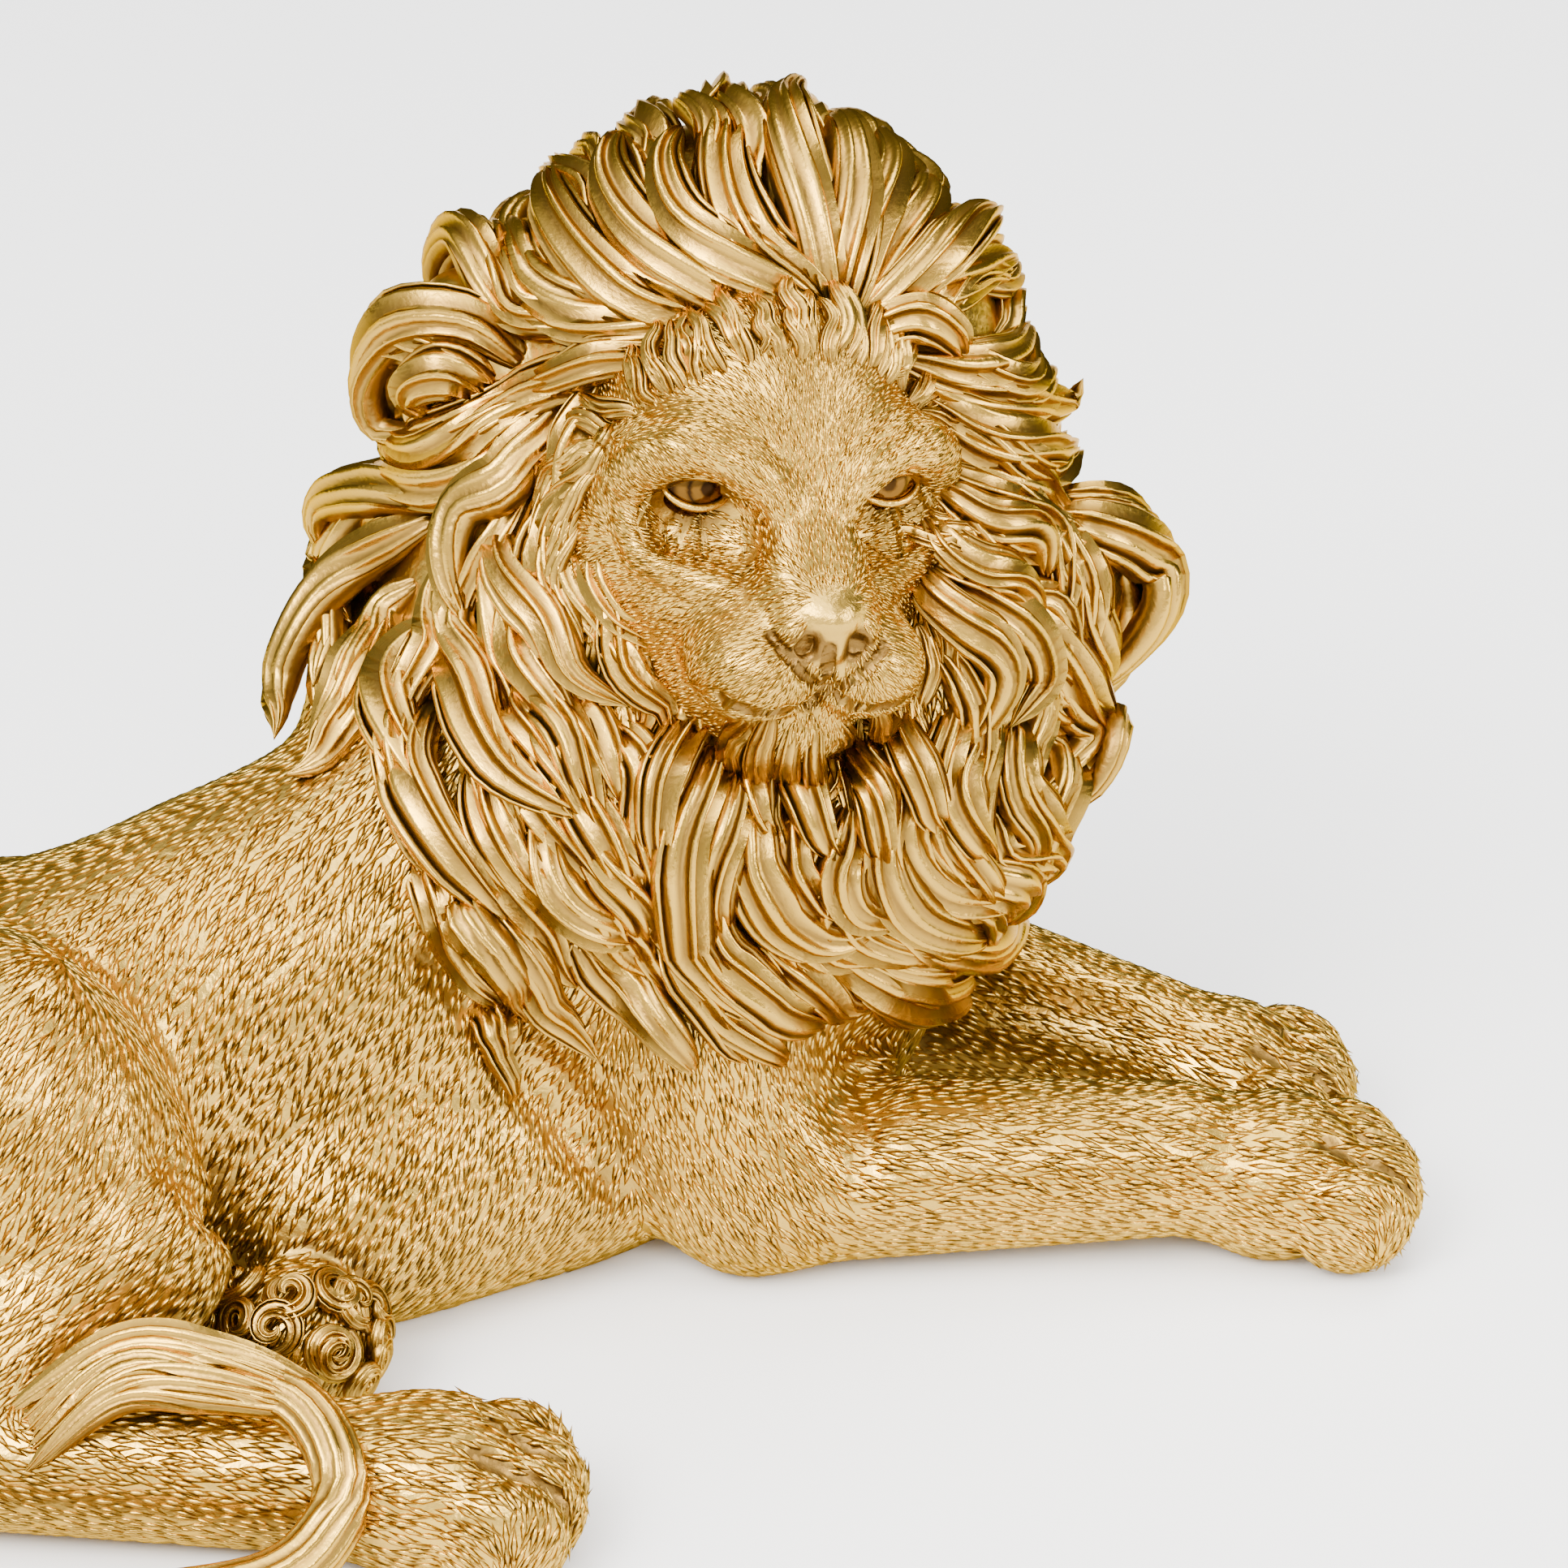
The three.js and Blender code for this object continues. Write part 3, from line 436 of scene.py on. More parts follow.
def neighbours_mean(points, edges):
    """For each point, the mean of those it shares an edge with."""
    total = np.zeros_like(points)
    count = np.zeros(len(points))
    for a, b in ((0, 1), (1, 0)):
        np.add.at(total, edges[:, a], points[edges[:, b]])
        np.add.at(count, edges[:, a], 1)
    return total / count[:, None]


def clay_mesh(form, cell):
    """The form's skin in grid millimetres: rough solids joined, then settled on the clay."""
    bm = bmesh.new()
    for stroke in form:
        if not stroke.carve:
            stroke.rough(bm)
    rough = mesh_of(bm, "rough")
    mesh = modified(rough, "REMESH", mode="VOXEL", voxel_size=cell, adaptivity=0.0)
    edges = np.empty(len(mesh.edges) * 2, np.int32)
    mesh.edges.foreach_get("vertices", edges)
    edges = edges.reshape(-1, 2)
    p = coords_of(mesh)
    p[:, 2] = np.maximum(p[:, 2], 0)
    for rounds, relax in ((2, True), (2, True), (1, False)):
        above = p[:, 2] > 0
        p[above] = settled(form, p[above], rounds)
        p[:, 2] = np.maximum(p[:, 2], 0)
        if relax:
            p[above] = 0.5 * (p[above] + neighbours_mean(p, edges)[above])
    mesh.vertices.foreach_set("co", p.astype(np.float32).ravel())
    mesh.update()
    return mesh


def set_painted_shade(mesh, hollow):
    """Stores how much painted shade each vertex gets, from how deep in the carving it lies; the
    gold darkens by it.
    """
    layer = mesh.attributes.new("hollow", "FLOAT", "POINT")
    layer.data.foreach_set("value", np.clip(hollow, 0, 1).astype(np.float32))


def piece_from(name, mesh, finish):
    """Puts a mesh in grid millimetres in its place as a smooth piece of the lion."""
    p = (coords_of(mesh) - GRID_MIDDLE) * MM
    mesh.vertices.foreach_set("co", p.astype(np.float32).ravel())
    mesh.polygons.foreach_set("use_smooth", np.ones(len(mesh.polygons), bool))
    mesh.materials.clear()
    mesh.materials.append(golds()[finish])
    mesh.name = name
    mesh.update()
    obj = placed(name, mesh)
    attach(obj, "root")
    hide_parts("lion")
    return obj


def tiled_mesh(template, places):
    """Copies of a template mesh: places is an array of copies by vertices by three."""
    copies, corners = places.shape[:2]
    faces = triangles_of(template)
    faces = faces[None] + corners * np.arange(copies)[:, None, None]
    faces = faces.reshape(-1, 3).astype(np.int32)
    mesh = bpy.data.meshes.new("tiled")
    mesh.vertices.add(copies * corners)
    mesh.vertices.foreach_set("co", places.reshape(-1).astype(np.float32))
    mesh.loops.add(faces.size)
    mesh.loops.foreach_set("vertex_index", faces.ravel())
    mesh.polygons.add(len(faces))
    mesh.polygons.foreach_set("loop_start", np.arange(0, faces.size, 3, dtype=np.int32))
    mesh.update(calc_edges=True)
    mesh.validate()
    return mesh


def bar_template(sides, steps):
    """A closed bar of rings, each vertex at (cosine, sine, ring), with pointed ends."""
    bm = bmesh.new()
    bmesh.ops.create_circle(bm, segments=sides, radius=1)
    edges = bm.edges[:]
    for step in range(steps):
        made = bmesh.ops.extrude_edge_only(bm, edges=edges)["geom"]
        verts = [g for g in made if isinstance(g, bmesh.types.BMVert)]
        bmesh.ops.translate(bm, vec=(0, 0, 1), verts=verts)
        edges = [g for g in made if isinstance(g, bmesh.types.BMEdge)]
    for level, tip in ((0, -0.5), (steps, steps + 0.5)):
        rim = [e for e in bm.edges if all(abs(v.co.z - level) < 1e-4 for v in e.verts)]
        made = bmesh.ops.extrude_edge_only(bm, edges=rim)["geom"]
        verts = [g for g in made if isinstance(g, bmesh.types.BMVert)]
        bmesh.ops.pointmerge(bm, verts=verts, merge_co=(0, 0, tip))
    bmesh.ops.recalc_face_normals(bm, faces=bm.faces)
    bmesh.ops.triangulate(bm, faces=bm.faces)
    return mesh_of(bm, "bar")


def fleck_template():
    """The smallest closed fleck: four corners round its middle and two ends."""
    bm = bmesh.new()
    bmesh.ops.create_uvsphere(bm, u_segments=4, v_segments=2, radius=1)
    bmesh.ops.triangulate(bm, faces=bm.faces)
    return mesh_of(bm, "fleck")


# The photograph's view on to the clay.
def view_axes():
    s, c = math.sin(VIEW_ELEVATION), math.cos(VIEW_ELEVATION)
    return np.array([[1, 0, 0], [0, s, c], [0, c, -s]])


def view_ray(u, v):
    """The camera's place, and the direction of a point of the photograph from it."""
    right, up, ahead = view_axes()
    half = VIEW_WIDTH / 2
    direction = ahead * VIEW_FOCUS + right * (u - half) + up * (half - v)
    return VIEW_TARGET - ahead * VIEW_DISTANCE, unit(direction)


def seen_on(form, places):
    """Where points of the photograph lie on a form, or pass closest to it."""
    found = []
    for u, v in places:
        eye, direction = view_ray(u, v)
        reach = np.arange(VIEW_DISTANCE - VIEW_SEARCH, VIEW_DISTANCE + VIEW_SEARCH, 1.0)
        along = eye + reach[:, None] * direction
        depth = depth_of(form, along)
        inside = np.nonzero(depth < 0)[0]
        found.append(along[inside[0] if len(inside) else np.argmin(depth)])
    return np.array(found)


# The folds of the hide, where the photograph shows them, each with how far its line stands
# over the hide.
FOLD_RADIUS = 3.4
FOLDS = [
    (1.4, [(545, 1185), (612, 1255), (668, 1335), (718, 1400), (772, 1465)]),
    (2.5, [(1066, 1300), (1052, 1370), (1062, 1440)]),
    (1.8, [(205, 1420), (260, 1480), (285, 1560)]),
]


def folded(form):
    """The form with its folds pressed in along their lines."""
    folds = []
    for height, places in FOLDS:
        line = seen_on(form, places)
        line += unit(slope_of(form, line)) * height
        folds += [carved(stroke) for stroke in limbs(line, FOLD_RADIUS, 5)]
    return form + folds


BODY_FORM = folded(mane_bulk() + trunk() + legs())


# The lines of the muzzle, and the brow and cheekbone, where the photograph shows them.
MOUTH_LINES = [
    [(1022, 800), (1020, 824), (1016, 850)],
    [(1016, 850), (1000, 866), (964, 878), (922, 877), (886, 860)],
    [(1016, 850), (1043, 866), (1090, 870), (1130, 848)],
    [(950, 785), (966, 808), (988, 830), (1012, 848)],
    [(1090, 795), (1076, 818), (1056, 834), (1028, 848)],
]
MOUTH_RADII = (0.9, 1.15, 1.15, 0.7, 0.7)
CHEEK_RIDGE = [(770, 610), (776, 648), (792, 680), (824, 699), (856, 713), (892, 724)]
BROW_RIDGE = [(774, 588), (800, 568), (834, 556)]
EYE_HOLLOW = [(818, 648), (846, 664)]


def mirrored_head(p):
    """Points of the head's other side."""
    return HEAD_CENTRE + (in_head(p) * [-1, 1, 1]) @ HEAD


def line_on(form, places, sunk):
    """A line of the photograph laid on a form, a little under or over its surface."""
    spots = settled(form, seen_on(form, places))
    return spots - unit(slope_of(form, spots)) * sunk


def featured(form):
    """The face with its mouth, brows and cheekbones drawn on."""
    extra, smooth = [], []
    ridges = [(CHEEK_RIDGE, 0.9, 2.3, 2.2), (BROW_RIDGE, 1.2, 4.2, 1.8)]
    for places, sunk, radius, blend in ridges:
        ridge = line_on(form, places, sunk)
        for route in (ridge, mirrored_head(ridge)):
            extra += limbs(route, radius, blend)
            smooth.append(route)
    hollow = line_on(form, EYE_HOLLOW, -0.6)
    for route in (hollow, mirrored_head(hollow)):
        extra += [carved(stroke) for stroke in limbs(route, 3.2, 3.5)]
    mouth = [line_on(form, places, 0.3) for places in MOUTH_LINES]
    for route, radius in zip(mouth, MOUTH_RADII):
        extra += [carved(stroke) for stroke in limbs(route, radius, 0.9)]
    return form + extra, mouth, smooth


def off_lines(p, routes):
    """How far points are from the nearest of some lines."""
    far = np.full(len(p), 1e3)
    for route in routes:
        for start, end in zip(route, route[1:]):
            far = np.minimum(far, limb(start, end, 0, 0, 1).depth(p))
    return far


HEAD_FORM, MOUTH, SMOOTH_RIDGES = featured(face())


def spline(points, count):
    """Evenly spaced points on a smooth curve through the given ones."""
    padded = np.vstack([2 * points[0] - points[1], points, 2 * points[-1] - points[-2]])
    fine = []
    for a, b, c, d in zip(padded, padded[1:], padded[2:], padded[3:]):
        t = np.linspace(0, 1, 12, endpoint=False)[:, None]
        fine.append(0.5 * (2 * b + (c - a) * t + (2 * a - 5 * b + 4 * c - d) * t**2
                           + (3 * b - a - 3 * c + d) * t**3))
    fine = np.vstack([*fine, points[-1:]])
    run = np.concatenate([[0], np.cumsum(np.linalg.norm(np.diff(fine, axis=0), axis=1))])
    even = np.linspace(0, run[-1], count)
    return np.column_stack([np.interp(even, run, fine[:, k]) for k in range(3)])


# The locks that the photograph shows, from root to tip, each with its half width in mm.
FRONT_LOCKS = [
    (5.6, [(1026, 396), (985, 352), (934, 312), (902, 255), (892, 200), (905, 150)]),
    (5.4, [(1030, 392), (1000, 310), (971, 225), (962, 165), (985, 125)]),
    (5.0, [(1036, 390), (1040, 300), (1032, 220), (1015, 160)]),
    (4.8, [(1042, 396), (1062, 300), (1082, 225), (1070, 170)]),
    (5.4, [(1050, 396), (1095, 320), (1124, 265), (1128, 215)]),
    (5.0, [(1060, 398), (1110, 345), (1165, 300), (1205, 275)]),
    (5.4, [(1065, 402), (1130, 370), (1193, 335), (1245, 325)]),
    (4.6, [(1062, 412), (1105, 398), (1145, 412), (1175, 445)]),
    (5.4, [(1015, 395), (960, 365), (900, 335), (850, 290), (832, 230), (845, 180)]),
    (6.2, [(985, 394), (920, 380), (860, 350), (800, 300), (768, 240), (775, 185)]),
    (6.2, [(930, 390), (860, 388), (790, 370), (735, 325), (702, 270), (700, 215)]),
    (5.6, [(870, 402), (800, 402), (725, 392), (668, 350), (640, 305), (650, 262)]),
    (4.2, [(830, 432), (760, 440), (700, 468), (645, 478)]),
    (5.2, [(720, 405), (655, 385), (605, 350), (585, 310)]),
    (5.6, [(640, 440), (580, 402), (515, 405), (488, 460), (505, 512), (555, 522)]),
    (5.0, [(600, 470), (560, 450), (528, 470), (540, 500)]),
    (5.2, [(690, 500), (625, 520), (562, 535), (510, 545), (488, 520)]),
    (5.6, [(690, 500), (662, 553), (645, 600), (601, 640), (578, 715), (592, 770)]),
    (5.6, [(660, 540), (600, 590), (545, 602), (500, 596), (462, 578)]),
    (5.6, [(570, 605), (505, 620), (450, 632), (418, 665), (426, 708)]),
    (5.4, [(1110, 440), (1175, 455), (1230, 440), (1262, 400)]),
    (5.4, [(1125, 455), (1190, 485), (1250, 500), (1305, 495), (1328, 470)]),
    (5.0, [(1145, 490), (1205, 530), (1268, 560), (1325, 560)]),
    (5.2, [(1156, 520), (1220, 570), (1280, 615), (1335, 640)]),
    (5.0, [(1165, 580), (1230, 630), (1285, 667), (1305, 720), (1290, 770)]),
    (6.4, [(1290, 640), (1345, 655), (1392, 690), (1400, 735), (1368, 790), (1325, 850)]),
    (5.2, [(1155, 700), (1200, 740), (1246, 790), (1258, 840), (1236, 893)]),
    (4.6, [(1130, 700), (1172, 760), (1205, 820), (1200, 880), (1185, 915)]),
    (5.6, [(1230, 735), (1285, 800), (1325, 860), (1338, 914), (1323, 968), (1300, 998)]),
    (5.2, [(1250, 810), (1295, 850), (1305, 905), (1285, 960), (1258, 1000)]),
    (5.0, [(1195, 905), (1170, 960), (1178, 1015), (1212, 1055)]),
    (5.2, [(1245, 900), (1240, 960), (1266, 1015), (1290, 1055), (1268, 1100)]),
    (5.6, [(1113, 960), (1118, 1035), (1155, 1082), (1215, 1098), (1262, 1085)]),
    (5.2, [(1049, 1000), (1026, 1055), (1048, 1100), (1100, 1122)]),
    (5.6, [(915, 985), (922, 1055), (955, 1112), (1010, 1135), (1075, 1135)]),
    (4.8, [(980, 1000), (975, 1055), (1000, 1098), (1050, 1120)]),
    (5.0, [(1090, 990), (1084, 1048), (1110, 1100), (1160, 1130), (1205, 1138)]),
    (5.2, [(1003, 1137), (1049, 1179), (1108, 1215), (1171, 1190)]),
    (5.4, [(862, 1090), (885, 1180), (940, 1240), (1007, 1252)]),
    (5.2, [(925, 1125), (960, 1185), (1012, 1222), (1072, 1228)]),
    (5.0, [(1095, 1130), (1140, 1155), (1190, 1158), (1240, 1128)]),
    (5.6, [(887, 905), (848, 990), (826, 1061), (837, 1145), (885, 1222), (945, 1252)]),
    (4.8, [(905, 940), (882, 1020), (872, 1085), (895, 1150)]),
    (5.6, [(529, 640), (480, 690), (440, 745), (408, 800), (385, 859), (350, 925)]),
    (6.0, [(580, 690), (570, 766), (590, 842), (602, 914), (640, 968), (735, 1008)]),
    (5.6, [(529, 871), (512, 956), (550, 1040), (605, 1100), (640, 1135)]),
    (5.2, [(672, 838), (735, 905), (762, 990)]),
    (5.2, [(650, 1005), (677, 1078), (735, 1130), (790, 1156)]),
    (5.2, [(640, 720), (650, 790), (690, 860), (715, 935)]),
    (5.0, [(625, 645), (640, 705), (690, 765), (722, 835), (775, 870)]),
    (5.2, [(480, 760), (455, 830), (430, 880), (385, 925)]),
    (5.6, [(545, 760), (505, 830), (492, 900), (520, 960), (565, 1000)]),
    (5.2, [(600, 930), (602, 1000), (640, 1060), (685, 1100), (698, 1148)]),
    (5.2, [(715, 1000), (752, 1060), (782, 1105), (800, 1158)]),
    (5.2, [(480, 600), (445, 660), (425, 720), (440, 770)]),
    (4.4, [(712, 560), (694, 640), (702, 705), (738, 765), (765, 825)]),
    (4.4, [(850, 880), (815, 940), (800, 1010), (812, 1075)]),
    (4.2, [(930, 890), (915, 950), (922, 1005), (950, 1040)]),
    (4.2, [(985, 930), (985, 985), (1005, 1025), (1035, 1045)]),
    (4.2, [(1060, 920), (1082, 970), (1075, 1020), (1090, 1060)]),
    (4.2, [(1105, 880), (1125, 935), (1135, 990), (1160, 1030)]),
    (4.2, [(1140, 640), (1180, 690), (1225, 715), (1265, 770)]),
    (4.2, [(1150, 600), (1195, 640), (1245, 660), (1280, 715)]),
    (4.2, [(745, 470), (722, 530), (712, 600), (722, 660)]),
    (4.2, [(760, 640), (752, 700), (775, 760), (812, 810)]),
    (4.8, [(648, 830), (650, 890), (684, 945), (716, 990)]),
    (4.4, [(690, 870), (686, 930), (712, 985), (748, 1030)]),
]
# A lock has strands side by side on top and is smooth below. Its width and height change from
# root to tip as shares of the most.
STRANDS = 5
STRAND_POINTS = 4
STRAND_CUT = 0.55
UNDER_POINTS = 6
LOCK_STEPS = 23
LOCK_STATIONS = [0, 0.14, 0.4, 0.7, 0.9, 1]
LOCK_WIDE = [0.45, 0.8, 1, 0.78, 0.4, 0.04]
LOCK_TALL = [0.35, 0.8, 1, 0.8, 0.5, 0.1]

# Thicknesses of the locks in mm, and the locks that fill the mane between the drawn ones. None
# of them reaches lower, or further back, than the mane does.
DRAWN_THICK, FILLING_THICK = 4.8, 4.0
FILLING_STEPS = 17
FILLING_TRIES = 6000
LOCKS_A_PIECE = 180
MANE_REACH = 112
MANE_LOW = 38
MANE_END = -80


def hair_flow(p):
    """The way the hair runs where no lock is drawn: out from the face, and down behind."""
    away = p - HEAD_CENTRE
    ahead = away @ HEAD[1]
    radial = unit(away - ahead[:, None] * HEAD[1])
    hang = smoothstep(-(away @ HEAD[2]), -40, 20)[:, None]
    behind = smoothstep(-ahead, 0, 24)[:, None]
    down = np.array([0, 0, -1.1]) * np.maximum(hang, behind)
    out = radial * (0.9 - 0.5 * hang) * (1 - behind)
    return unit(out + HEAD[1] * (0.45 * hang - 0.7) + down)


def lock_shape(path, normal, width, thickness, chance):
    """The rings of one lock, and the painted shade of their points, from how deep in the carving
    they lie.
    """
    steps = len(path)
    share = np.linspace(0, 1, steps)
    ahead = unit(np.gradient(path, axis=0))
    normal = on_surface(normal, ahead)
    broad = np.cross(ahead, normal)
    roll = 0.45 * np.sin(2 * math.pi * (share + chance.random())) * chance.uniform(0.4, 1)
    turn_c, turn_s = np.cos(roll)[:, None], np.sin(roll)[:, None]
    side_way = broad * turn_c + normal * turn_s
    top_way = normal * turn_c - broad * turn_s
    wide = width * np.interp(share, LOCK_STATIONS, LOCK_WIDE)
    tall = thickness * np.interp(share, LOCK_STATIONS, LOCK_TALL)
    top = STRANDS * STRAND_POINTS
    spread = np.cumsum(np.concatenate([[0], chance.uniform(0.65, 1.35, STRANDS)]))
    spread = spread / spread[-1]
    knots = np.interp(np.linspace(0, STRANDS, top + 1), np.arange(STRANDS + 1), spread)
    drift = chance.uniform(-0.08, 0.08) * np.sin(math.pi * share)[:, None]
    across = knots[None, :] + drift * np.sin(math.pi * knots)[None, :]
    phase = (np.arange(top + 1) % STRAND_POINTS) / STRAND_POINTS
    ridge = np.abs(np.sin(math.pi * phase)) ** 0.8
    strand = np.minimum(np.arange(top + 1) // STRAND_POINTS, STRANDS - 1)
    high = chance.uniform(0.86, 1.16, STRANDS)[strand]
    high = np.where(ridge < 0.01, 1.0, high)
    angle = math.pi * across
    x = np.cos(angle) * (1 - 0.06 * (1 - ridge))
    y = np.sin(angle) * (1 - STRAND_CUT * (1 - ridge)) * high
    under = np.linspace(math.pi, 2 * math.pi, UNDER_POINTS + 1)[1:-1]
    x = np.hstack([x, np.tile(np.cos(under), (steps, 1))])
    y = np.hstack([y, np.tile(0.7 * np.sin(under), (steps, 1))])
    rings = (path[:, None] + side_way[:, None] * (wide[:, None] * x)[..., None]
             + top_way[:, None] * (tall[:, None] * y)[..., None])
    # Painted shade: dark in the grooves between strands, on the underside and lower sides, and
    # towards the root.
    hollow = np.tile(np.concatenate([1 - ridge, np.ones(UNDER_POINTS - 1)]), (steps, 1))
    hollow = np.maximum(hollow, smoothstep(-y, -0.42, 0.15))
    hollow = np.maximum(hollow, 0.8 * smoothstep(-share, -0.16, 0)[:, None])
    return rings, hollow


def bars_mesh(shapes):
    """A mesh of closed bars: each has rings, stations by sides by three, and their painted shade.
    """
    rings, painted_shades = (np.array(part) for part in zip(*shapes))
    count, steps, sides = rings.shape[:3]
    template = bar_template(sides, steps - 1)
    t = coords_of(template)
    station = np.clip(np.round(t[:, 2]).astype(int), 0, steps - 1)
    side = np.round(np.arctan2(t[:, 1], t[:, 0]) / (2 * math.pi) * sides).astype(int) % sides
    places = rings[:, station, side]
    hollow = painted_shades[:, station, side]
    for end, level in ((0, -0.5), (steps - 1, steps - 0.5)):
        tip = np.nonzero(np.abs(t[:, 2] - level) < 0.1)[0]
        inner = 1 if end == 0 else steps - 2
        beyond = rings[:, end].mean(1) * 1.5 - rings[:, inner].mean(1) * 0.5
        places[:, tip] = beyond[:, None]
    mesh = tiled_mesh(template, places)
    set_painted_shade(mesh, hollow.ravel())
    return mesh


def raised_paths(paths, form, lifts, flicks):
    """Paths that stand up over the form in the middle, with the form's normals under them."""
    share = np.linspace(0, 1, paths.shape[1])
    flat = paths.reshape(-1, 3)
    foot = settled(form, flat, 2)
    normal = unit(slope_of(form, foot))
    proud = np.maximum(((flat - foot) * normal).sum(1), 0)
    rise = lifts[:, None] * np.sin(math.pi * (0.06 + 0.82 * share)) - 1.2
    rise = (rise + flicks[:, None] * share**2).ravel()
    raised = foot + normal * (rise + proud)[:, None]
    return raised.reshape(paths.shape), normal.reshape(paths.shape)


def combed(form, roots, ways, way_at, lengths, hops, pull):
    """Routes of locks combed over the form from their roots, step by step."""
    stations = [roots]
    for _ in range(hops):
        here = settled(form, stations[-1], 1)
        normal = unit(slope_of(form, here))
        ways = on_surface(unit((1 - pull) * ways + pull * way_at(here)), normal)
        stations.append(here + ways * (lengths / hops)[:, None])
    return np.stack(stations, 1)


def drawn_locks(chance):
    """The photograph's locks and their paths."""
    routes = [spline(seen_on(BODY_FORM, places), LOCK_STEPS + 1) for _, places in FRONT_LOCKS]
    count = len(routes)
    lifts, flicks = chance.uniform(2.8, 6.8, count), chance.uniform(-1, 2.5, count)
    raised, normals = raised_paths(np.array(routes), BODY_FORM, lifts, flicks)
    shapes = [lock_shape(path, normal, width, DRAWN_THICK, chance)
              for (width, _), path, normal in zip(FRONT_LOCKS, raised, normals)]
    return shapes, raised


def mane_candidates(count):
    """Points over the mane's bulk, seen evenly from the middle of the head."""
    n = np.arange(count)
    height = 1 - 2 * (n + 0.5) / count
    turn = n * math.pi * (3 - math.sqrt(5))
    flat = np.sqrt(1 - height**2)
    ways = np.column_stack([flat * np.cos(turn), flat * np.sin(turn), height])
    reach = np.full(count, float(MANE_REACH))
    places = HEAD_CENTRE + ways * reach[:, None]
    found = np.zeros(count, bool)
    for _ in range(MANE_REACH - 4):
        inside = depth_of(MANE_FORM, places) < 0
        found |= inside
        reach -= np.where(found, 0, 1.0)
        places = HEAD_CENTRE + ways * reach[:, None]
    away = places - HEAD_CENTRE
    on_face = ((away @ HEAD[1]) > 0) & (face_reach(away, 24, 30) < 1)
    return places[found & ~on_face & (places[:, 2] > 44)]


def apart(roots, ways, along_gap, across_gap):
    """Which roots stay when those too close to an earlier one that stays are left out."""
    kept = []
    for n, p in enumerate(roots):
        if kept:
            off = p - roots[kept]
            along = (off * ways[kept]).sum(1)
            across2 = np.maximum((off**2).sum(1) - along**2, 0)
            if ((along / along_gap) ** 2 + across2 / across_gap**2).min() < 1:
                continue
        kept.append(n)
    return kept


def filling_locks(drawn, settings, chance):
    """Locks in the spaces between the drawn ones and all over the back of the mane."""
    guide = np.vstack([path[2:-2] for path in drawn])
    guide_way = np.vstack([unit(np.gradient(path, axis=0))[2:-2] for path in drawn])
    tree = tree_of(guide)

    def way_at(p):
        way = hair_flow(p) * 0.35
        for k, q in enumerate(p):
            for _, n, far in tree.find_n(q, 5):
                way[k] += guide_way[n] * math.exp(-((far / 13) ** 2))
        return unit(way)

    roots = mane_candidates(FILLING_TRIES)
    chance.shuffle(roots)
    ways = way_at(roots)
    kept = apart(roots, ways, settings.row_spacing, settings.lock_spacing)
    roots, ways = roots[kept], ways[kept]
    count = len(roots)
    lengths = chance.uniform(26, 40, count)
    routes = combed(BODY_FORM, roots, ways, way_at, lengths, 9, 0.45)
    paths = np.array([spline(route, FILLING_STEPS + 1) for route in routes])
    share = np.linspace(0, 1, FILLING_STEPS + 1)
    side = unit(np.cross(unit(np.gradient(paths, axis=1)), paths - HEAD_CENTRE))
    swing = chance.uniform(1.6, 3.0, (count, 1))
    sway = swing * np.sin(2 * math.pi * (share + chance.random((count, 1))))
    paths = paths + side * (sway * smoothstep(share, 0, 0.3))[..., None]
    low = smoothstep(-roots[:, 2], -110, -70)
    lifts = chance.uniform(1.8, 4.6, count) - low
    flicks = chance.uniform(-1, 2.6, count) * (1 - low)
    raised, normals = raised_paths(paths, BODY_FORM, lifts, flicks)
    shapes = []
    for path, normal in zip(raised, normals):
        if path[:, 2].min() < MANE_LOW or path[:, 0].min() < MANE_END:
            continue
        away = path - HEAD_CENTRE
        if ((away @ HEAD[1] > 6) & (face_reach(away, 22.5, 28) < 1)).any():
            continue
        width = chance.uniform(3.8, 5.4)
        shapes.append(lock_shape(path, normal, width, FILLING_THICK, chance))
    return shapes


# The small locks round the face, and those of the beard where the photograph shows them.
RUFF_LOCKS = 96
RUFF_STEPS = 13
RUFF_THICK = 1.9
BEARD = [
    [(925, 872), (905, 915), (900, 965), (915, 1015)],
    [(950, 882), (938, 925), (940, 975), (955, 1020)],
    [(978, 886), (970, 930), (974, 980), (985, 1025)],
    [(1006, 888), (1002, 932), (1008, 985), (1020, 1030)],
    [(1032, 888), (1034, 932), (1042, 980), (1050, 1028)],
    [(1058, 886), (1064, 930), (1072, 975), (1085, 1015)],
    [(1084, 880), (1094, 920), (1100, 960), (1118, 1000)],
    [(1108, 872), (1120, 905), (1128, 945), (1145, 980)],
]


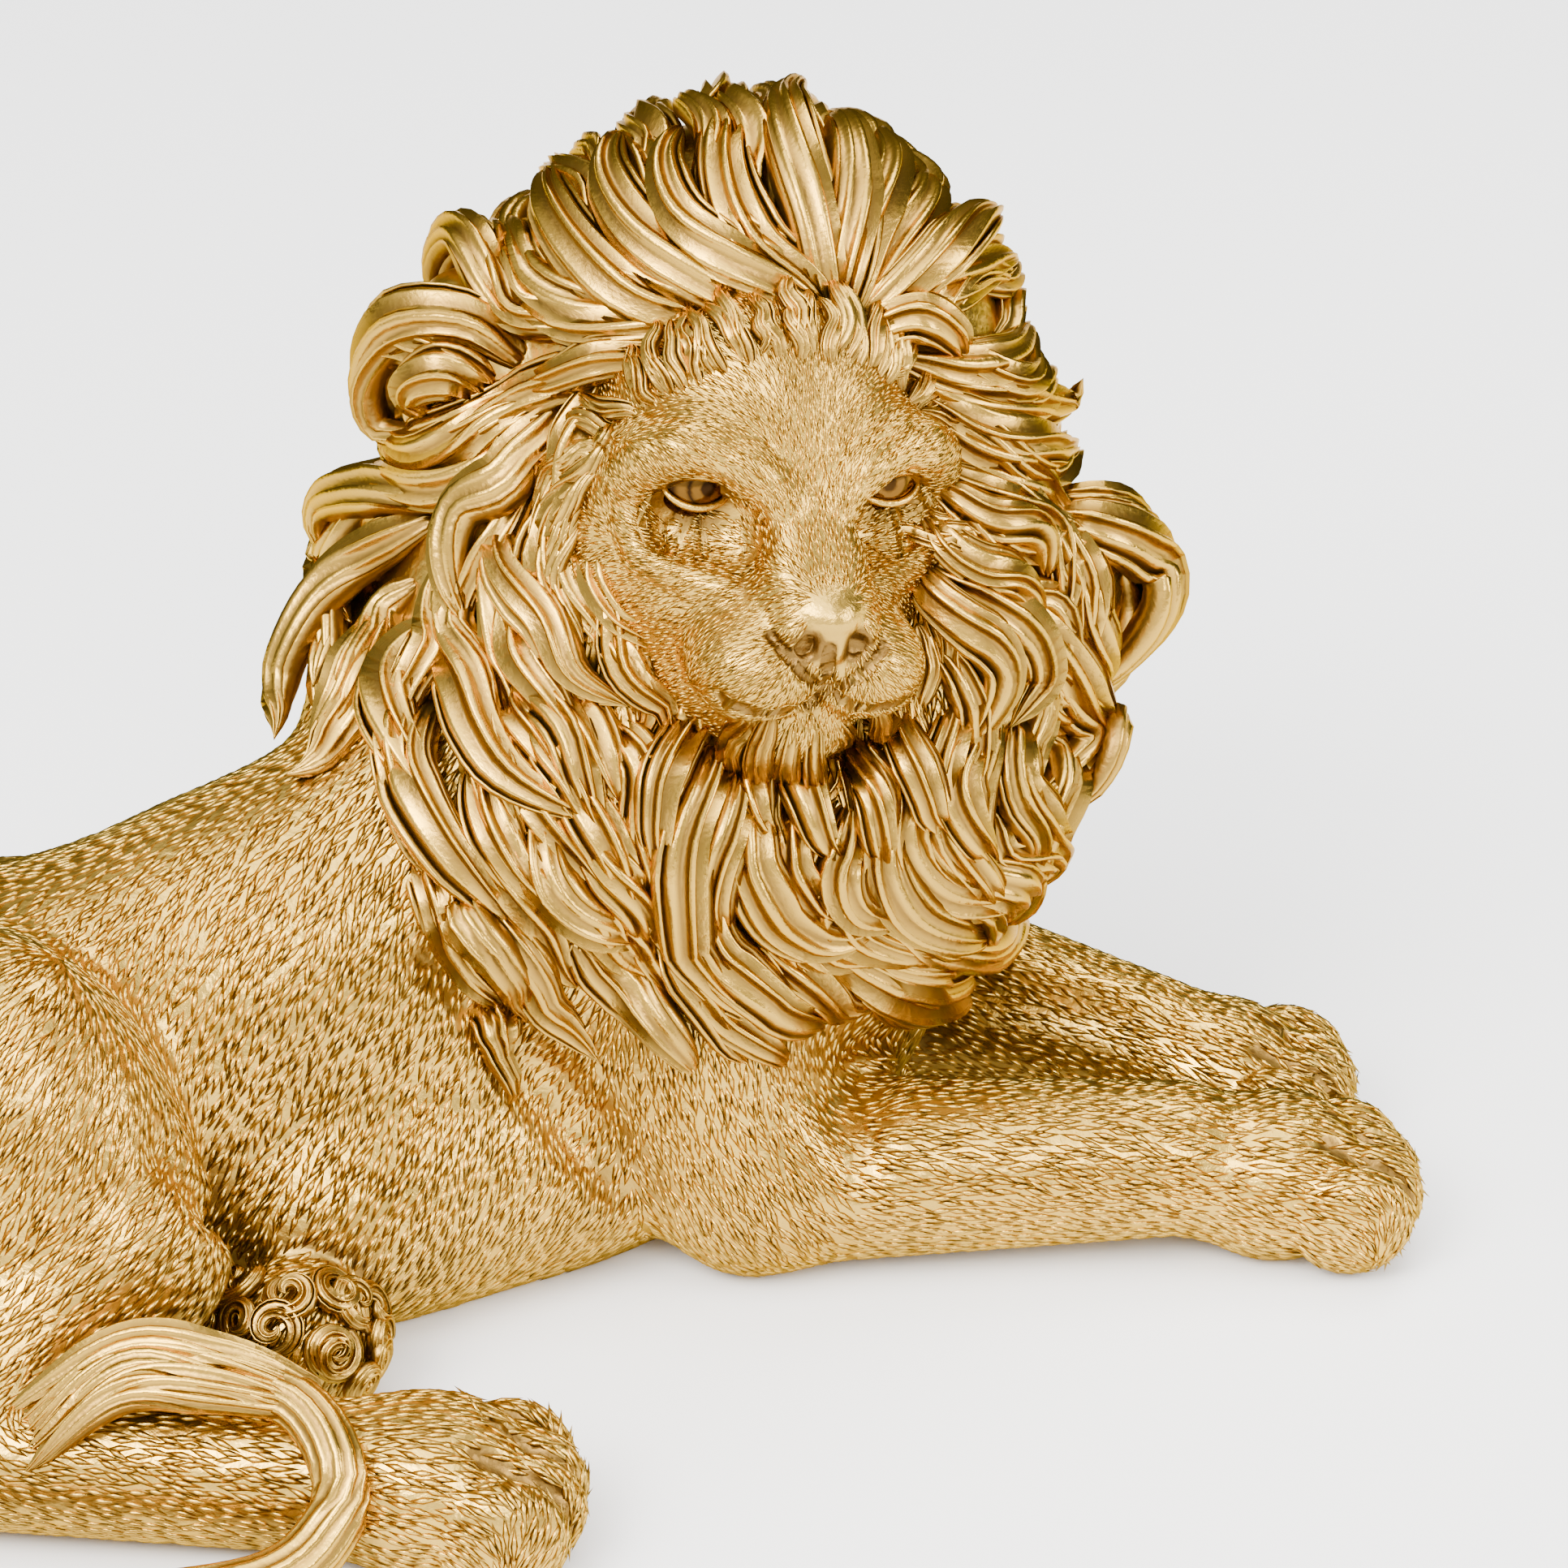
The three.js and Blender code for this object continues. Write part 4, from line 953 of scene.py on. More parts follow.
def ruff(chance):
    """Small locks that grow from the rim of the face over the mane, and the beard."""
    form = BODY_FORM + HEAD_FORM
    turn = np.arange(RUFF_LOCKS) + chance.uniform(-0.3, 0.3, RUFF_LOCKS)
    turn = 2 * math.pi * turn / RUFF_LOCKS
    across, up = np.cos(turn), np.sin(turn)
    rim = np.column_stack([
        (22 + 4.5 * across**2) * across, 14 - 6 * np.abs(across) ** 3, 5 + 24.5 * up])
    rim *= chance.uniform(0.93, 1.07, (RUFF_LOCKS, 1))
    roots = settled(form, on_head(rim), 6)
    top = smoothstep(up, 0.2, 0.8)
    lengths = chance.uniform(16, 26, RUFF_LOCKS) * (1 - 0.35 * top)

    def way_at(p):
        return hair_flow(p) + 0.3 * HEAD[1] + 0.2 * chance.normal(size=p.shape)

    routes = combed(form, roots, way_at(roots), way_at, lengths, 5, 1.0)
    paths = [spline(route, RUFF_STEPS + 1) for route in routes]
    widths = chance.uniform(1.9, 2.9, RUFF_LOCKS) * (1 - 0.25 * top)
    paths += [spline(seen_on(form, places), RUFF_STEPS + 1) for places in BEARD]
    widths = np.concatenate([widths, chance.uniform(2.2, 2.9, len(BEARD))])
    count = len(paths)
    raised, normals = raised_paths(
        np.array(paths), form, chance.uniform(0.9, 2.2, count), chance.uniform(-0.4, 1.4, count))
    return bars_mesh([lock_shape(path, normal, width, RUFF_THICK, chance)
                      for path, normal, width in zip(raised, normals, widths)])


# The short coat.
# The bones that the coat lies along, each with the girth of the leg round it.
BONES = [
    (NEAR_ELBOW, NEAR_FOREPAW, 17), (FAR_ELBOW, FAR_FOREPAW, 18),
    (NEAR_SHOULDER, NEAR_ELBOW, 16), (NEAR_HOCK, NEAR_HIND_PAW, 15),
    (FAR_HOCK, FAR_HIND_PAW, 15), (NEAR_KNEE, NEAR_HOCK, 15),
]


def hide_flow(p, normal):
    """The way the short coat lies: back and down the trunk, and down along the legs."""
    back = -turned(TRUNK_HEADING)[0]
    way = np.tile(0.55 * back + np.array([0, 0, -0.8]), (len(p), 1))
    for start, end, girth in BONES:
        far = off_lines(p, [(start, end)])
        pull = smoothstep(-far, -girth * 1.5, -girth * 0.9)[:, None]
        along = unit(np.array(end, float) - np.array(start, float))
        way = way * (1 - pull) + (along + np.array([0, 0, -0.15])) * pull
    return on_surface(way, normal)


def face_flow(p, normal):
    """The short hair of the face: up the brow, outwards and back over the cheeks."""
    local = in_head(p)
    side = np.sign(local[:, 0]) * smoothstep(np.abs(local[:, 0]), 1, 16)
    up = smoothstep(local[:, 2], -6, 14)
    way = (side[:, None] * HEAD[0] * 0.9 + (1.1 * up - 0.55)[:, None] * HEAD[2]
           - HEAD[1] * 0.22)
    return on_surface(way, normal)


def surface_points(mesh, density, chance, keep):
    """Random points on what is kept of a mesh, density to a square mm, and their normals."""
    p, tri = coords_of(mesh), triangles_of(mesh)
    a, b, c = p[tri[:, 0]], p[tri[:, 1]], p[tri[:, 2]]
    cross = np.cross(b - a, c - a)
    area = 0.5 * np.linalg.norm(cross, axis=1)
    area = np.where(keep((a + b + c) / 3), area, 0)
    count = int(area.sum() * density)
    pick = chance.choice(len(tri), count, p=area / area.sum())
    s, t = chance.random(count), chance.random(count)
    flip = s + t > 1
    s[flip], t[flip] = 1 - s[flip], 1 - t[flip]
    places = a[pick] + s[:, None] * (b - a)[pick] + t[:, None] * (c - a)[pick]
    return places, unit(cross[pick])


def thinned(places, ways, along_gap, across_gap):
    """The places that stay when those that crowd an earlier one are taken out."""
    tree = tree_of(places)
    open_place = np.ones(len(places), bool)
    kept = []
    for n, (p, way) in enumerate(zip(places.tolist(), ways.tolist())):
        if not open_place[n]:
            continue
        kept.append(n)
        for q, m, far in tree.find_range(p, along_gap):
            along = sum((q[k] - p[k]) * way[k] for k in range(3))
            across2 = far * far - along * along
            if (along / along_gap) ** 2 + across2 / across_gap**2 < 1:
                open_place[m] = False
    return np.array(kept)


def fleck_mesh(places, normals, ways, length, width, height, chance):
    """Short strokes of hair: a fleck on each place, its tip a little proud."""
    template = fleck_template()
    t = coords_of(template)
    count = len(places)
    scale = chance.uniform(0.8, 1.2, (count, 1, 1))
    angle = chance.normal(0, 0.13, (count, 1))
    side = np.cross(normals, ways)
    ways = ways * np.cos(angle) + side * np.sin(angle)
    side = np.cross(normals, ways)
    along = t[None, :, 2:3] * scale * length / 2
    lean = 0.35 * height * t[None, :, 2:3]
    spot = (places[:, None] + ways[:, None] * along
            + side[:, None] * (t[None, :, 0:1] * width / 2)
            + normals[:, None] * (t[None, :, 1:2] * height + lean))
    mesh = tiled_mesh(template, spot)
    # Painted shade on each fleck's sides and foot, where it meets the skin; its top stays bright.
    set_painted_shade(mesh, np.tile(smoothstep(-t[:, 1], -0.5, 0.6) * 0.55, count))
    return mesh


# The gold.
# The gold of the mane and the painted shade in its carving, the tint of gold at grazing angles,
# the depth of its grain in metres, and how far random cloudy patches darken it towards the
# painted shade and how much of them is taken off again.
PATCH_SHARE, PATCH_LEVEL = 0.9, 0.36
MANE_CREST, MANE_PAINTED_SHADE = (0.53, 0.32, 0.047, 1), (0.16, 0.085, 0.02, 1)
EDGE_TINT = (0.92, 0.68, 0.32, 1)
GRAIN_DEPTH = 0.0004


def gold_group():
    """Gold with painted shade, dark and warm, in the carving, and polished where it stands proud.
    """
    group = bpy.data.node_groups.new("gold_carving", "ShaderNodeTree")
    inputs = [
        ("Crest", "NodeSocketColor", MANE_CREST),
        # Recess is the colour of the painted shade in the carving, and Recess Amount how strongly
        # it is painted.
        ("Recess", "NodeSocketColor", MANE_PAINTED_SHADE),
        ("Recess Amount", "NodeSocketFloat", 0.8),
        ("Crest Roughness", "NodeSocketFloat", 0.2),
        ("Recess Roughness", "NodeSocketFloat", 0.42),
        ("Grain Scale", "NodeSocketFloat", 900.0),
    ]
    for name, kind, value in inputs:
        socket = group.interface.new_socket(name, in_out="INPUT", socket_type=kind)
        socket.default_value = value
    for name, kind in (("Color", "NodeSocketColor"), ("Roughness", "NodeSocketFloat"),
                       ("Height", "NodeSocketFloat")):
        group.interface.new_socket(name, in_out="OUTPUT", socket_type=kind)
    nodes, links = group.nodes, group.links
    source = nodes.new("NodeGroupInput")
    sink = nodes.new("NodeGroupOutput")
    # The hollow attribute holds the painted shade of each vertex.
    hollow = nodes.new("ShaderNodeAttribute")
    hollow.attribute_name = "hollow"
    place = nodes.new("ShaderNodeTexCoord")
    cloud = nodes.new("ShaderNodeTexNoise")
    cloud.inputs["Scale"].default_value = 55
    cloud.inputs["Detail"].default_value = 4
    grain = nodes.new("ShaderNodeTexNoise")
    grain.inputs["Detail"].default_value = 3
    links.new(place.outputs["Object"], cloud.inputs["Vector"])
    links.new(place.outputs["Object"], grain.inputs["Vector"])
    links.new(source.outputs["Grain Scale"], grain.inputs["Scale"])

    def maths(operation, a, b):
        node = nodes.new("ShaderNodeMath")
        node.operation = operation
        node.use_clamp = operation in ("ADD", "MULTIPLY")
        for socket, value in zip(node.inputs, (a, b)):
            if isinstance(value, (int, float)):
                socket.default_value = value
            else:
                links.new(value, socket)
        return node.outputs[0]

    patchy = maths("MULTIPLY", cloud.outputs["Fac"], PATCH_SHARE)
    patchy = maths("SUBTRACT", patchy, PATCH_LEVEL)
    # Painted shade: the vertex's own, with the random cloudy patches added, mixes the gold towards
    # the Recess colour.
    deep = maths("ADD", hollow.outputs["Fac"], patchy)
    deep = maths("MULTIPLY", deep, source.outputs["Recess Amount"])
    for kind, what, output in (("RGBA", "", "Color"), ("FLOAT", " Roughness", "Roughness")):
        mix = nodes.new("ShaderNodeMix")
        mix.data_type = kind
        links.new(deep, mix.inputs["Factor"])
        links.new(source.outputs["Crest" + what], mix.inputs["A"])
        links.new(source.outputs["Recess" + what], mix.inputs["B"])
        links.new(mix.outputs["Result"], sink.inputs[output])
    links.new(grain.outputs["Fac"], sink.inputs["Height"])
    return group


def gold(name, group, bump, **values):
    """A finish of the gold, with its own values on the group's sockets."""
    material = bpy.data.materials.new(name)
    material.use_nodes = True
    nodes, links = material.node_tree.nodes, material.node_tree.links
    shader = nodes["Principled BSDF"]
    shader.inputs["Metallic"].default_value = 1
    shader.inputs["Specular Tint"].default_value = EDGE_TINT
    carving = nodes.new("ShaderNodeGroup")
    carving.node_tree = group
    for key, value in values.items():
        carving.inputs[key.replace("_", " ")].default_value = value
    relief = nodes.new("ShaderNodeBump")
    relief.inputs["Strength"].default_value = bump
    relief.inputs["Distance"].default_value = GRAIN_DEPTH
    links.new(carving.outputs["Color"], shader.inputs["Base Color"])
    links.new(carving.outputs["Roughness"], shader.inputs["Roughness"])
    links.new(carving.outputs["Height"], relief.inputs["Height"])
    links.new(relief.outputs["Normal"], shader.inputs["Normal"])
    return material


GOLD = {}


def golds():
    """The four finishes of the casting, made once."""
    if not GOLD:
        group = gold_group()
        tones = bpy.context.scene.lion_gold
        GOLD["mane"] = gold(
            "gold_mane", group, 0.25, Crest=tones.mane_crest, Recess=tones.mane_painted_shade)
        GOLD["hide"] = gold(
            "gold_hide", group, 0.5, Recess_Amount=0.9, Crest_Roughness=0.26,
            Crest=tones.hide_crest, Recess=tones.hide_painted_shade, Grain_Scale=700)
        # The eyeballs' finish is painted shade: dark, and darker still at the pupils and rims.
        GOLD["eye"] = gold(
            "gold_eye", group, 0.0, Recess_Amount=1.0, Crest_Roughness=0.12,
            Recess_Roughness=0.25, Crest=tones.eye_painted_shade, Recess=tones.eye_deep_painted_shade)
        GOLD["face"] = gold(
            "gold_face", group, 0.4, Recess_Amount=0.95, Crest_Roughness=0.25,
            Crest=tones.face_crest, Recess=tones.hide_painted_shade, Grain_Scale=1100)
    return GOLD


def crevice_shade(form, p, reach):
    """How sunken points of a form are, from the room over them, as the painted shade in its
    crevices.
    """
    normal = unit(slope_of(form, p))
    room = depth_of(form, p + normal * reach) / reach
    return smoothstep(-room, -0.9, -0.35)


# The add-on.
class LionBodySettings(bpy.types.PropertyGroup):
    cell: bpy.props.FloatProperty(
        name="Cell", description="Grid of the body's skin, mm", default=1.1, min=0.6)
    most: bpy.props.IntProperty(
        name="Triangles", description="Most triangles of the body", default=120000)
    head_cell: bpy.props.FloatProperty(
        name="Head cell", description="Grid of the head's skin, mm", default=0.62, min=0.4)
    head_most: bpy.props.IntProperty(
        name="Head triangles", description="Most triangles of the head", default=90000)


class LionManeSettings(bpy.types.PropertyGroup):
    lock_spacing: bpy.props.FloatProperty(
        name="Lock spacing", description="Gap between locks side by side, mm", default=6.6)
    row_spacing: bpy.props.FloatProperty(
        name="Row spacing", description="Gap between rows of locks, mm", default=15.0)


class LionFurSettings(bpy.types.PropertyGroup):
    length: bpy.props.FloatProperty(
        name="Hair length", description="Length of a stroke of the coat, mm", default=6.2)
    width: bpy.props.FloatProperty(
        name="Hair width", description="Width of a stroke of the coat, mm", default=1.15)


def tone(name, description, default):
    """A colour that a user may change."""
    return bpy.props.FloatVectorProperty(
        name=name, description=description, default=default, size=4, subtype="COLOR",
        min=0, max=1)


class LionGoldSettings(bpy.types.PropertyGroup):
    mane_crest: tone("Mane", "Gold on the mane's strands", MANE_CREST)
    # Painted shade between the mane's strands.
    mane_painted_shade: tone("Mane, deep", "Gold between the mane's strands", MANE_PAINTED_SHADE)
    hide_crest: tone("Body", "Gold on the body and the legs", (0.58, 0.37, 0.065, 1))
    # Painted shade in the hollows of the body and the face.
    hide_painted_shade: tone("Body, deep", "Gold in the body's and face's hollows", (0.15, 0.08, 0.02, 1))
    face_crest: tone("Face", "Gold on the face", (0.57, 0.355, 0.058, 1))
    # The eyeballs are painted dark as the shade in the eye sockets, and darker still as painted
    # shade at the pupils and rims.
    eye_painted_shade: tone("Eyes", "Colour of the eyeballs", (0.13, 0.06, 0.01, 1))
    eye_deep_painted_shade: tone("Eyes, deep", "Colour of the pupils and rims", (0.02, 0.009, 0.003, 1))


def fresh_mesh(form, cell, most):
    """A form's skin with no more than the given triangles."""
    mesh = clay_mesh(form, cell)
    share = min(1.0, most / (2 * len(mesh.polygons)))
    return modified(mesh, "DECIMATE", ratio=share)


# The skins that the coat grows on.
SKINS = {}


class LION_OT_body(bpy.types.Operator):
    """Models the trunk, the legs and the paws"""

    bl_idname = "lion.body"
    bl_label = "Body"

    def execute(self, context):
        settings = context.scene.lion_body
        mesh = fresh_mesh(BODY_FORM, settings.cell, settings.most)
        p = coords_of(mesh)
        # Painted shade in the body's crevices and along the toes' clefts.
        hollow = crevice_shade(BODY_FORM, p, 5)
        hollow = np.maximum(hollow, smoothstep(-off_lines(p, CLEFTS), -2.6, -1.7))
        set_painted_shade(mesh, hollow)
        SKINS["hide"] = mesh.copy()
        piece_from("body", mesh, "hide")
        return {"FINISHED"}


def eyeballs():
    """Two smooth eyeballs, with painted shade at the pupil, in a ring round it and round the rim.
    """
    bm = bmesh.new()
    for side in (-1, 1):
        spot = Vector(on_head(EYE, side))
        bmesh.ops.create_icosphere(
            bm, subdivisions=5, radius=EYEBALL, matrix=Matrix.Translation(spot))
    mesh = mesh_of(bm, "eyeballs")
    p = coords_of(mesh)
    hollow = np.zeros(len(p))
    for side in (-1, 1):
        local = (p - on_head(EYE, side)) @ HEAD.T
        iris = np.hypot(local[:, 0] + side * 0.6, local[:, 2] - 0.4)
        ball = np.linalg.norm(local, axis=1) < EYEBALL * 1.1
        # Painted shade: darkest at the pupil, in a ring round it, and at the rim under the lids.
        ring = smoothstep(iris, 2.5, 2.9) * smoothstep(-iris, -3.6, -3.1)
        dark = np.maximum(smoothstep(-iris, -1.5, -1.1), 0.9 * ring)
        hollow = np.where(ball, np.maximum(dark, smoothstep(iris, 4.2, 5.4)), hollow)
    set_painted_shade(mesh, hollow)
    return mesh


def eyelids():
    """The rims of the four eyelids, thin at the corners of the eyes."""
    shapes = []
    sides = 12
    angle = 2 * math.pi * np.arange(sides) / sides
    for side in (-1, 1):
        centre = on_head(EYE, side)
        for lid, girth in ((UPPER_LID, 1.0), (LOWER_LID, 0.65)):
            spots = np.array([lid_point(*place) for place in lid]) * [side, 1, 1]
            path = spline(HEAD_CENTRE + spots @ HEAD, LOCK_STEPS + 1)
            share = np.linspace(0, 1, len(path))
            ahead = unit(np.gradient(path, axis=0))
            out = unit(path - centre)
            broad = np.cross(ahead, out)
            radius = girth * (0.35 + 0.65 * np.sin(math.pi * share) ** 0.6)
            rings = path[:, None] + radius[:, None, None] * (
                broad[:, None] * np.cos(angle)[:, None] + out[:, None] * np.sin(angle)[:, None])
            # Painted shade on the side of each rim that faces the eyeball.
            hollow = np.tile(smoothstep(-np.sin(angle), -0.1, 0.8), (len(path), 1))
            shapes.append((rings, hollow))
    return bars_mesh(shapes)


class LION_OT_head(bpy.types.Operator):
    """Models the head and the face"""

    bl_idname = "lion.head"
    bl_label = "Head"

    def execute(self, context):
        settings = context.scene.lion_body
        mesh = fresh_mesh(HEAD_FORM, settings.head_cell, settings.head_most)
        p = coords_of(mesh)
        # Painted shade in the face's crevices, round the eye openings, in the nostrils and along
        # the mouth's lines.
        hollow = crevice_shade(HEAD_FORM, p, 2.5)
        for side in (-1, 1):
            for place, clear, dark in ((EYE, 8.2, 6.4), (NOSTRIL, 3.6, 2.6)):
                off = np.linalg.norm(p - on_head(place, side), axis=1)
                hollow = np.maximum(hollow, smoothstep(-off, -clear, -dark))
        hollow = np.maximum(hollow, smoothstep(-off_lines(p, MOUTH), -1.6, -0.9))
        set_painted_shade(mesh, hollow)
        SKINS["face"] = mesh.copy()
        piece_from("head", mesh, "face")
        piece_from("eyeballs", eyeballs(), "eye")
        piece_from("eyelids", eyelids(), "face")
        return {"FINISHED"}


class LION_OT_mane(bpy.types.Operator):
    """Combs the locks of the mane over its bulk"""

    bl_idname = "lion.mane"
    bl_label = "Mane"

    def execute(self, context):
        chance = np.random.default_rng(7)
        drawn, paths = drawn_locks(chance)
        piece_from("mane_front", bars_mesh(drawn), "mane")
        filling = filling_locks(paths, context.scene.lion_mane, chance)
        piece_from("ruff", ruff(chance), "mane")
        for n in range(0, len(filling), LOCKS_A_PIECE):
            name = "mane_locks_" + "abcd"[n // LOCKS_A_PIECE]
            piece_from(name, bars_mesh(filling[n:n + LOCKS_A_PIECE]), "mane")
        return {"FINISHED"}


FLANK_CURLS = 17
CURL_RADIUS = 1.9


def flank_curls(chance):
    """Tight curls of hair all over the tuft under the flank."""
    shapes = []
    for n in range(FLANK_CURLS):
        lift = 0.9 - 1.15 * (n + 0.5) / FLANK_CURLS
        turn = -0.5 * math.pi + 1.5 * math.sin(2.4 * n)
        normal = np.array([math.cos(turn) * math.sqrt(1 - lift**2),
                           math.sin(turn) * math.sqrt(1 - lift**2), lift])
        foot = np.array(FLANK_TUFT) + normal * np.array([12.5, 13, 12.5])
        if foot[2] < 2:
            continue
        side = unit(np.cross(normal, np.array([0.3, 0.1, 1.0])))
        other = np.cross(normal, side)
        share = np.linspace(0, 1, LOCK_STEPS + 1)[:, None]
        angle = 2 * math.pi * (chance.random() + 1.25 * share) * chance.choice([-1, 1])
        reach = 4.0 - 2.9 * share
        path = foot + reach * (side * np.cos(angle) + other * np.sin(angle))
        path = path + normal * (2.6 * share - 0.4)
        normal = np.tile(normal, (len(path), 1))
        shapes.append(lock_shape(path, normal, CURL_RADIUS, CURL_RADIUS, chance))
    return bars_mesh(shapes)


# The tail: a twisted rope of strands from the rump round the hind foot, with a tuft of locks.
TAIL_STATIONS = 80
TAIL_STRANDS = 11
TAIL_RADII = (8.2, 3.9)
TAIL_TWIST = 2.4
TAIL_CUT = 0.2
TUFT_LOCKS = 9
TUFT_WIDE, TUFT_THICK = 4.2, 3.6
TAIL_ROUTE = [
    (-152, -66, 34), (-168, -84, 18), (-170, -112, 8), (-146, -141, 6), (-108, -149, 6),
    (-78, -145, 7), (-67, -138, 13), (-66, -133, 21), (-73, -125, 27), (-88, -119, 27),
]


def tail():
    path = spline(np.array(TAIL_ROUTE, float), TAIL_STATIONS)
    ahead = unit(np.gradient(path, axis=0))
    side = unit(np.cross(ahead, np.array([0.0, 0.0, 1.0])))
    top = np.cross(side, ahead)
    point = np.arange(TAIL_STRANDS * STRAND_POINTS)
    angle = 2 * math.pi * point / len(point)
    ridge = np.abs(np.sin(math.pi * (point % STRAND_POINTS) / STRAND_POINTS)) ** 0.7
    angle = angle + np.linspace(0, TAIL_TWIST, TAIL_STATIONS)[:, None]
    radius = np.linspace(*TAIL_RADII, TAIL_STATIONS)[:, None] * (1 - TAIL_CUT * (1 - ridge))[None]
    rings = (path[:, None] + side[:, None] * (radius * np.cos(angle))[..., None]
             + top[:, None] * (radius * np.sin(angle))[..., None])
    rings[..., 2] = np.maximum(rings[..., 2], 0.1)
    # Painted shade in the grooves between the tail's strands.
    return bars_mesh([(rings, np.tile(1 - ridge, (TAIL_STATIONS, 1)))])


def tail_tuft(chance):
    """The locks at the tail's end, side by side, laid back over the hind foot."""
    shapes = []
    for n in range(TUFT_LOCKS):
        swing = (n - 4) / 4
        start = np.array([-70, -123 - 3.0 * swing, 28 - 1.5 * abs(swing)])
        middle = np.array([-99, -119 - 6 * swing, 33 - 5 * abs(swing)])
        end = np.array([-118 + 5 * abs(swing), -122 - 7 * swing, 21 - 4 * abs(swing)])
        rise = 0.5 * (start + middle) + (0, 0, 2)
        path = spline(np.array([start, rise, middle, end]), LOCK_STEPS + 1)
        normal = np.tile(unit(np.array([0.0, -0.45 * swing - 0.3, 1.0])), (len(path), 1))
        shapes.append(lock_shape(path, normal, TUFT_WIDE, TUFT_THICK, chance))
    return bars_mesh(shapes)


class LION_OT_tail(bpy.types.Operator):
    """Models the tail, its tuft and the curls under the flank"""

    bl_idname = "lion.tail"
    bl_label = "Tail"

    def execute(self, context):
        chance = np.random.default_rng(3)
        piece_from("tail", tail(), "mane")
        piece_from("tail_tuft", tail_tuft(chance), "mane")
        piece_from("flank_curls", flank_curls(chance), "mane")
        return {"FINISHED"}


# The strokes of the coat and of the face's hair: how many are tried to a square mm, the least
# gaps between them along and across, and the most of them. Then the coat's height, and the
# face hair's length, width and height, in mm.
COAT = (1.9, (2.7, 0.86), 24000)
COAT_HEIGHT = 0.4
FACE_HAIR = (5, (1.55, 0.5), 14000)
FACE_HAIR_SIZE = (3.5, 0.6, 0.2)


def round_face(p):
    """Which points lie under the ruff, in a wide egg round the face."""
    local = in_head(p) - (0, 20, -8)
    return np.linalg.norm(local / (36, 30, 42), axis=1) < 1


def on_hide(p):
    """Where the body has its coat: clear of the mane, the floor and the toes' clefts."""
    bare = (depth_of(MANE_FORM, p) > 1.0) | round_face(p)
    return (p[:, 2] > 1.5) & bare & (off_lines(p, CLEFTS) > 1.9)


def on_face(p):
    """Where the face has its hair: clear of the nose, the eyes, the mouth and the ridges."""
    local = in_head(p)
    nose = np.linalg.norm((local - (0, 45, 0.5)) / (5.6, 6, 4.6), axis=1) < 1
    nose |= np.linalg.norm((local - (0, 44.5, -4.5)) / (7, 6, 3.8), axis=1) < 1
    eye = np.linalg.norm(local - EYE, axis=1) < 8
    eye |= np.linalg.norm(local * [-1, 1, 1] - EYE, axis=1) < 8
    lines = (off_lines(p, MOUTH) < 1.0) | (off_lines(p, SMOOTH_RIDGES) < 2.2)
    return (local[:, 1] > 0) & ~nose & ~eye & ~lines


def coat_flow(p, normal):
    """The way the body's coat lies, which round the face is the way of the mane's hair."""
    way = hide_flow(p, normal)
    near = round_face(p)
    way[near] = hair_flow(p[near]) - 0.4 * normal[near]
    return on_surface(way, normal)


def grown(skin, flow, keep, density, gaps, most, size, chance):
    """Strokes of hair on a skin, where they are kept, with their length, width and height."""
    places, normals = surface_points(skin, density, chance, keep)
    ways = flow(places, normals)
    kept = thinned(places, ways, *gaps)[:most]
    return fleck_mesh(places[kept], normals[kept], ways[kept], *size, chance)


class LION_OT_fur(bpy.types.Operator):
    """Engraves the short coat of the body and the face"""

    bl_idname = "lion.fur"
    bl_label = "Coat"

    def execute(self, context):
        settings = context.scene.lion_fur
        chance = np.random.default_rng(11)
        size = (settings.length, settings.width, COAT_HEIGHT)
        coat = grown(SKINS["hide"], coat_flow, on_hide, *COAT, size, chance)
        piece_from("coat", coat, "hide")
        hair = grown(SKINS["face"], face_flow, on_face, *FACE_HAIR, FACE_HAIR_SIZE, chance)
        piece_from("face_hair", hair, "face")
        return {"FINISHED"}


# The studio, in metres and watts: each lamp's place, power, size and colour.
LAMPS = [
    ("key", (-0.5, -0.8, 0.9), 26, 0.6, (1, 0.96, 0.88)),
    ("front", (0.35, -1.0, 0.75), 9, 0.4, (1, 0.97, 0.9)),
    ("right", (0.95, -0.25, 0.45), 10, 0.45, (1, 0.97, 0.9)),
    ("crown", (0.3, 0.45, 1.0), 9, 0.5, (1, 0.97, 0.9)),
]
LAMP_AIM = (0, 0, 0.08)
SKY_POWER, SKY_SPREAD, SKY_WAY = 4.8, 70, (0.25, 0.45, -1)
WORLD_BRIGHT_SIDE, WORLD_STRENGTH = (-0.25, -0.75, 0.6), 2.4
WORLD_LEVELS = [(0.0, 0.03), (0.42, 0.08), (0.64, 0.42), (1.0, 1.0)]
PAPER = (0.87, 0.875, 0.89, 1)


def facing(way):
    """The turn of a lamp or a camera that looks along a direction."""
    return Vector(way).to_track_quat("-Z", "Y").to_euler()


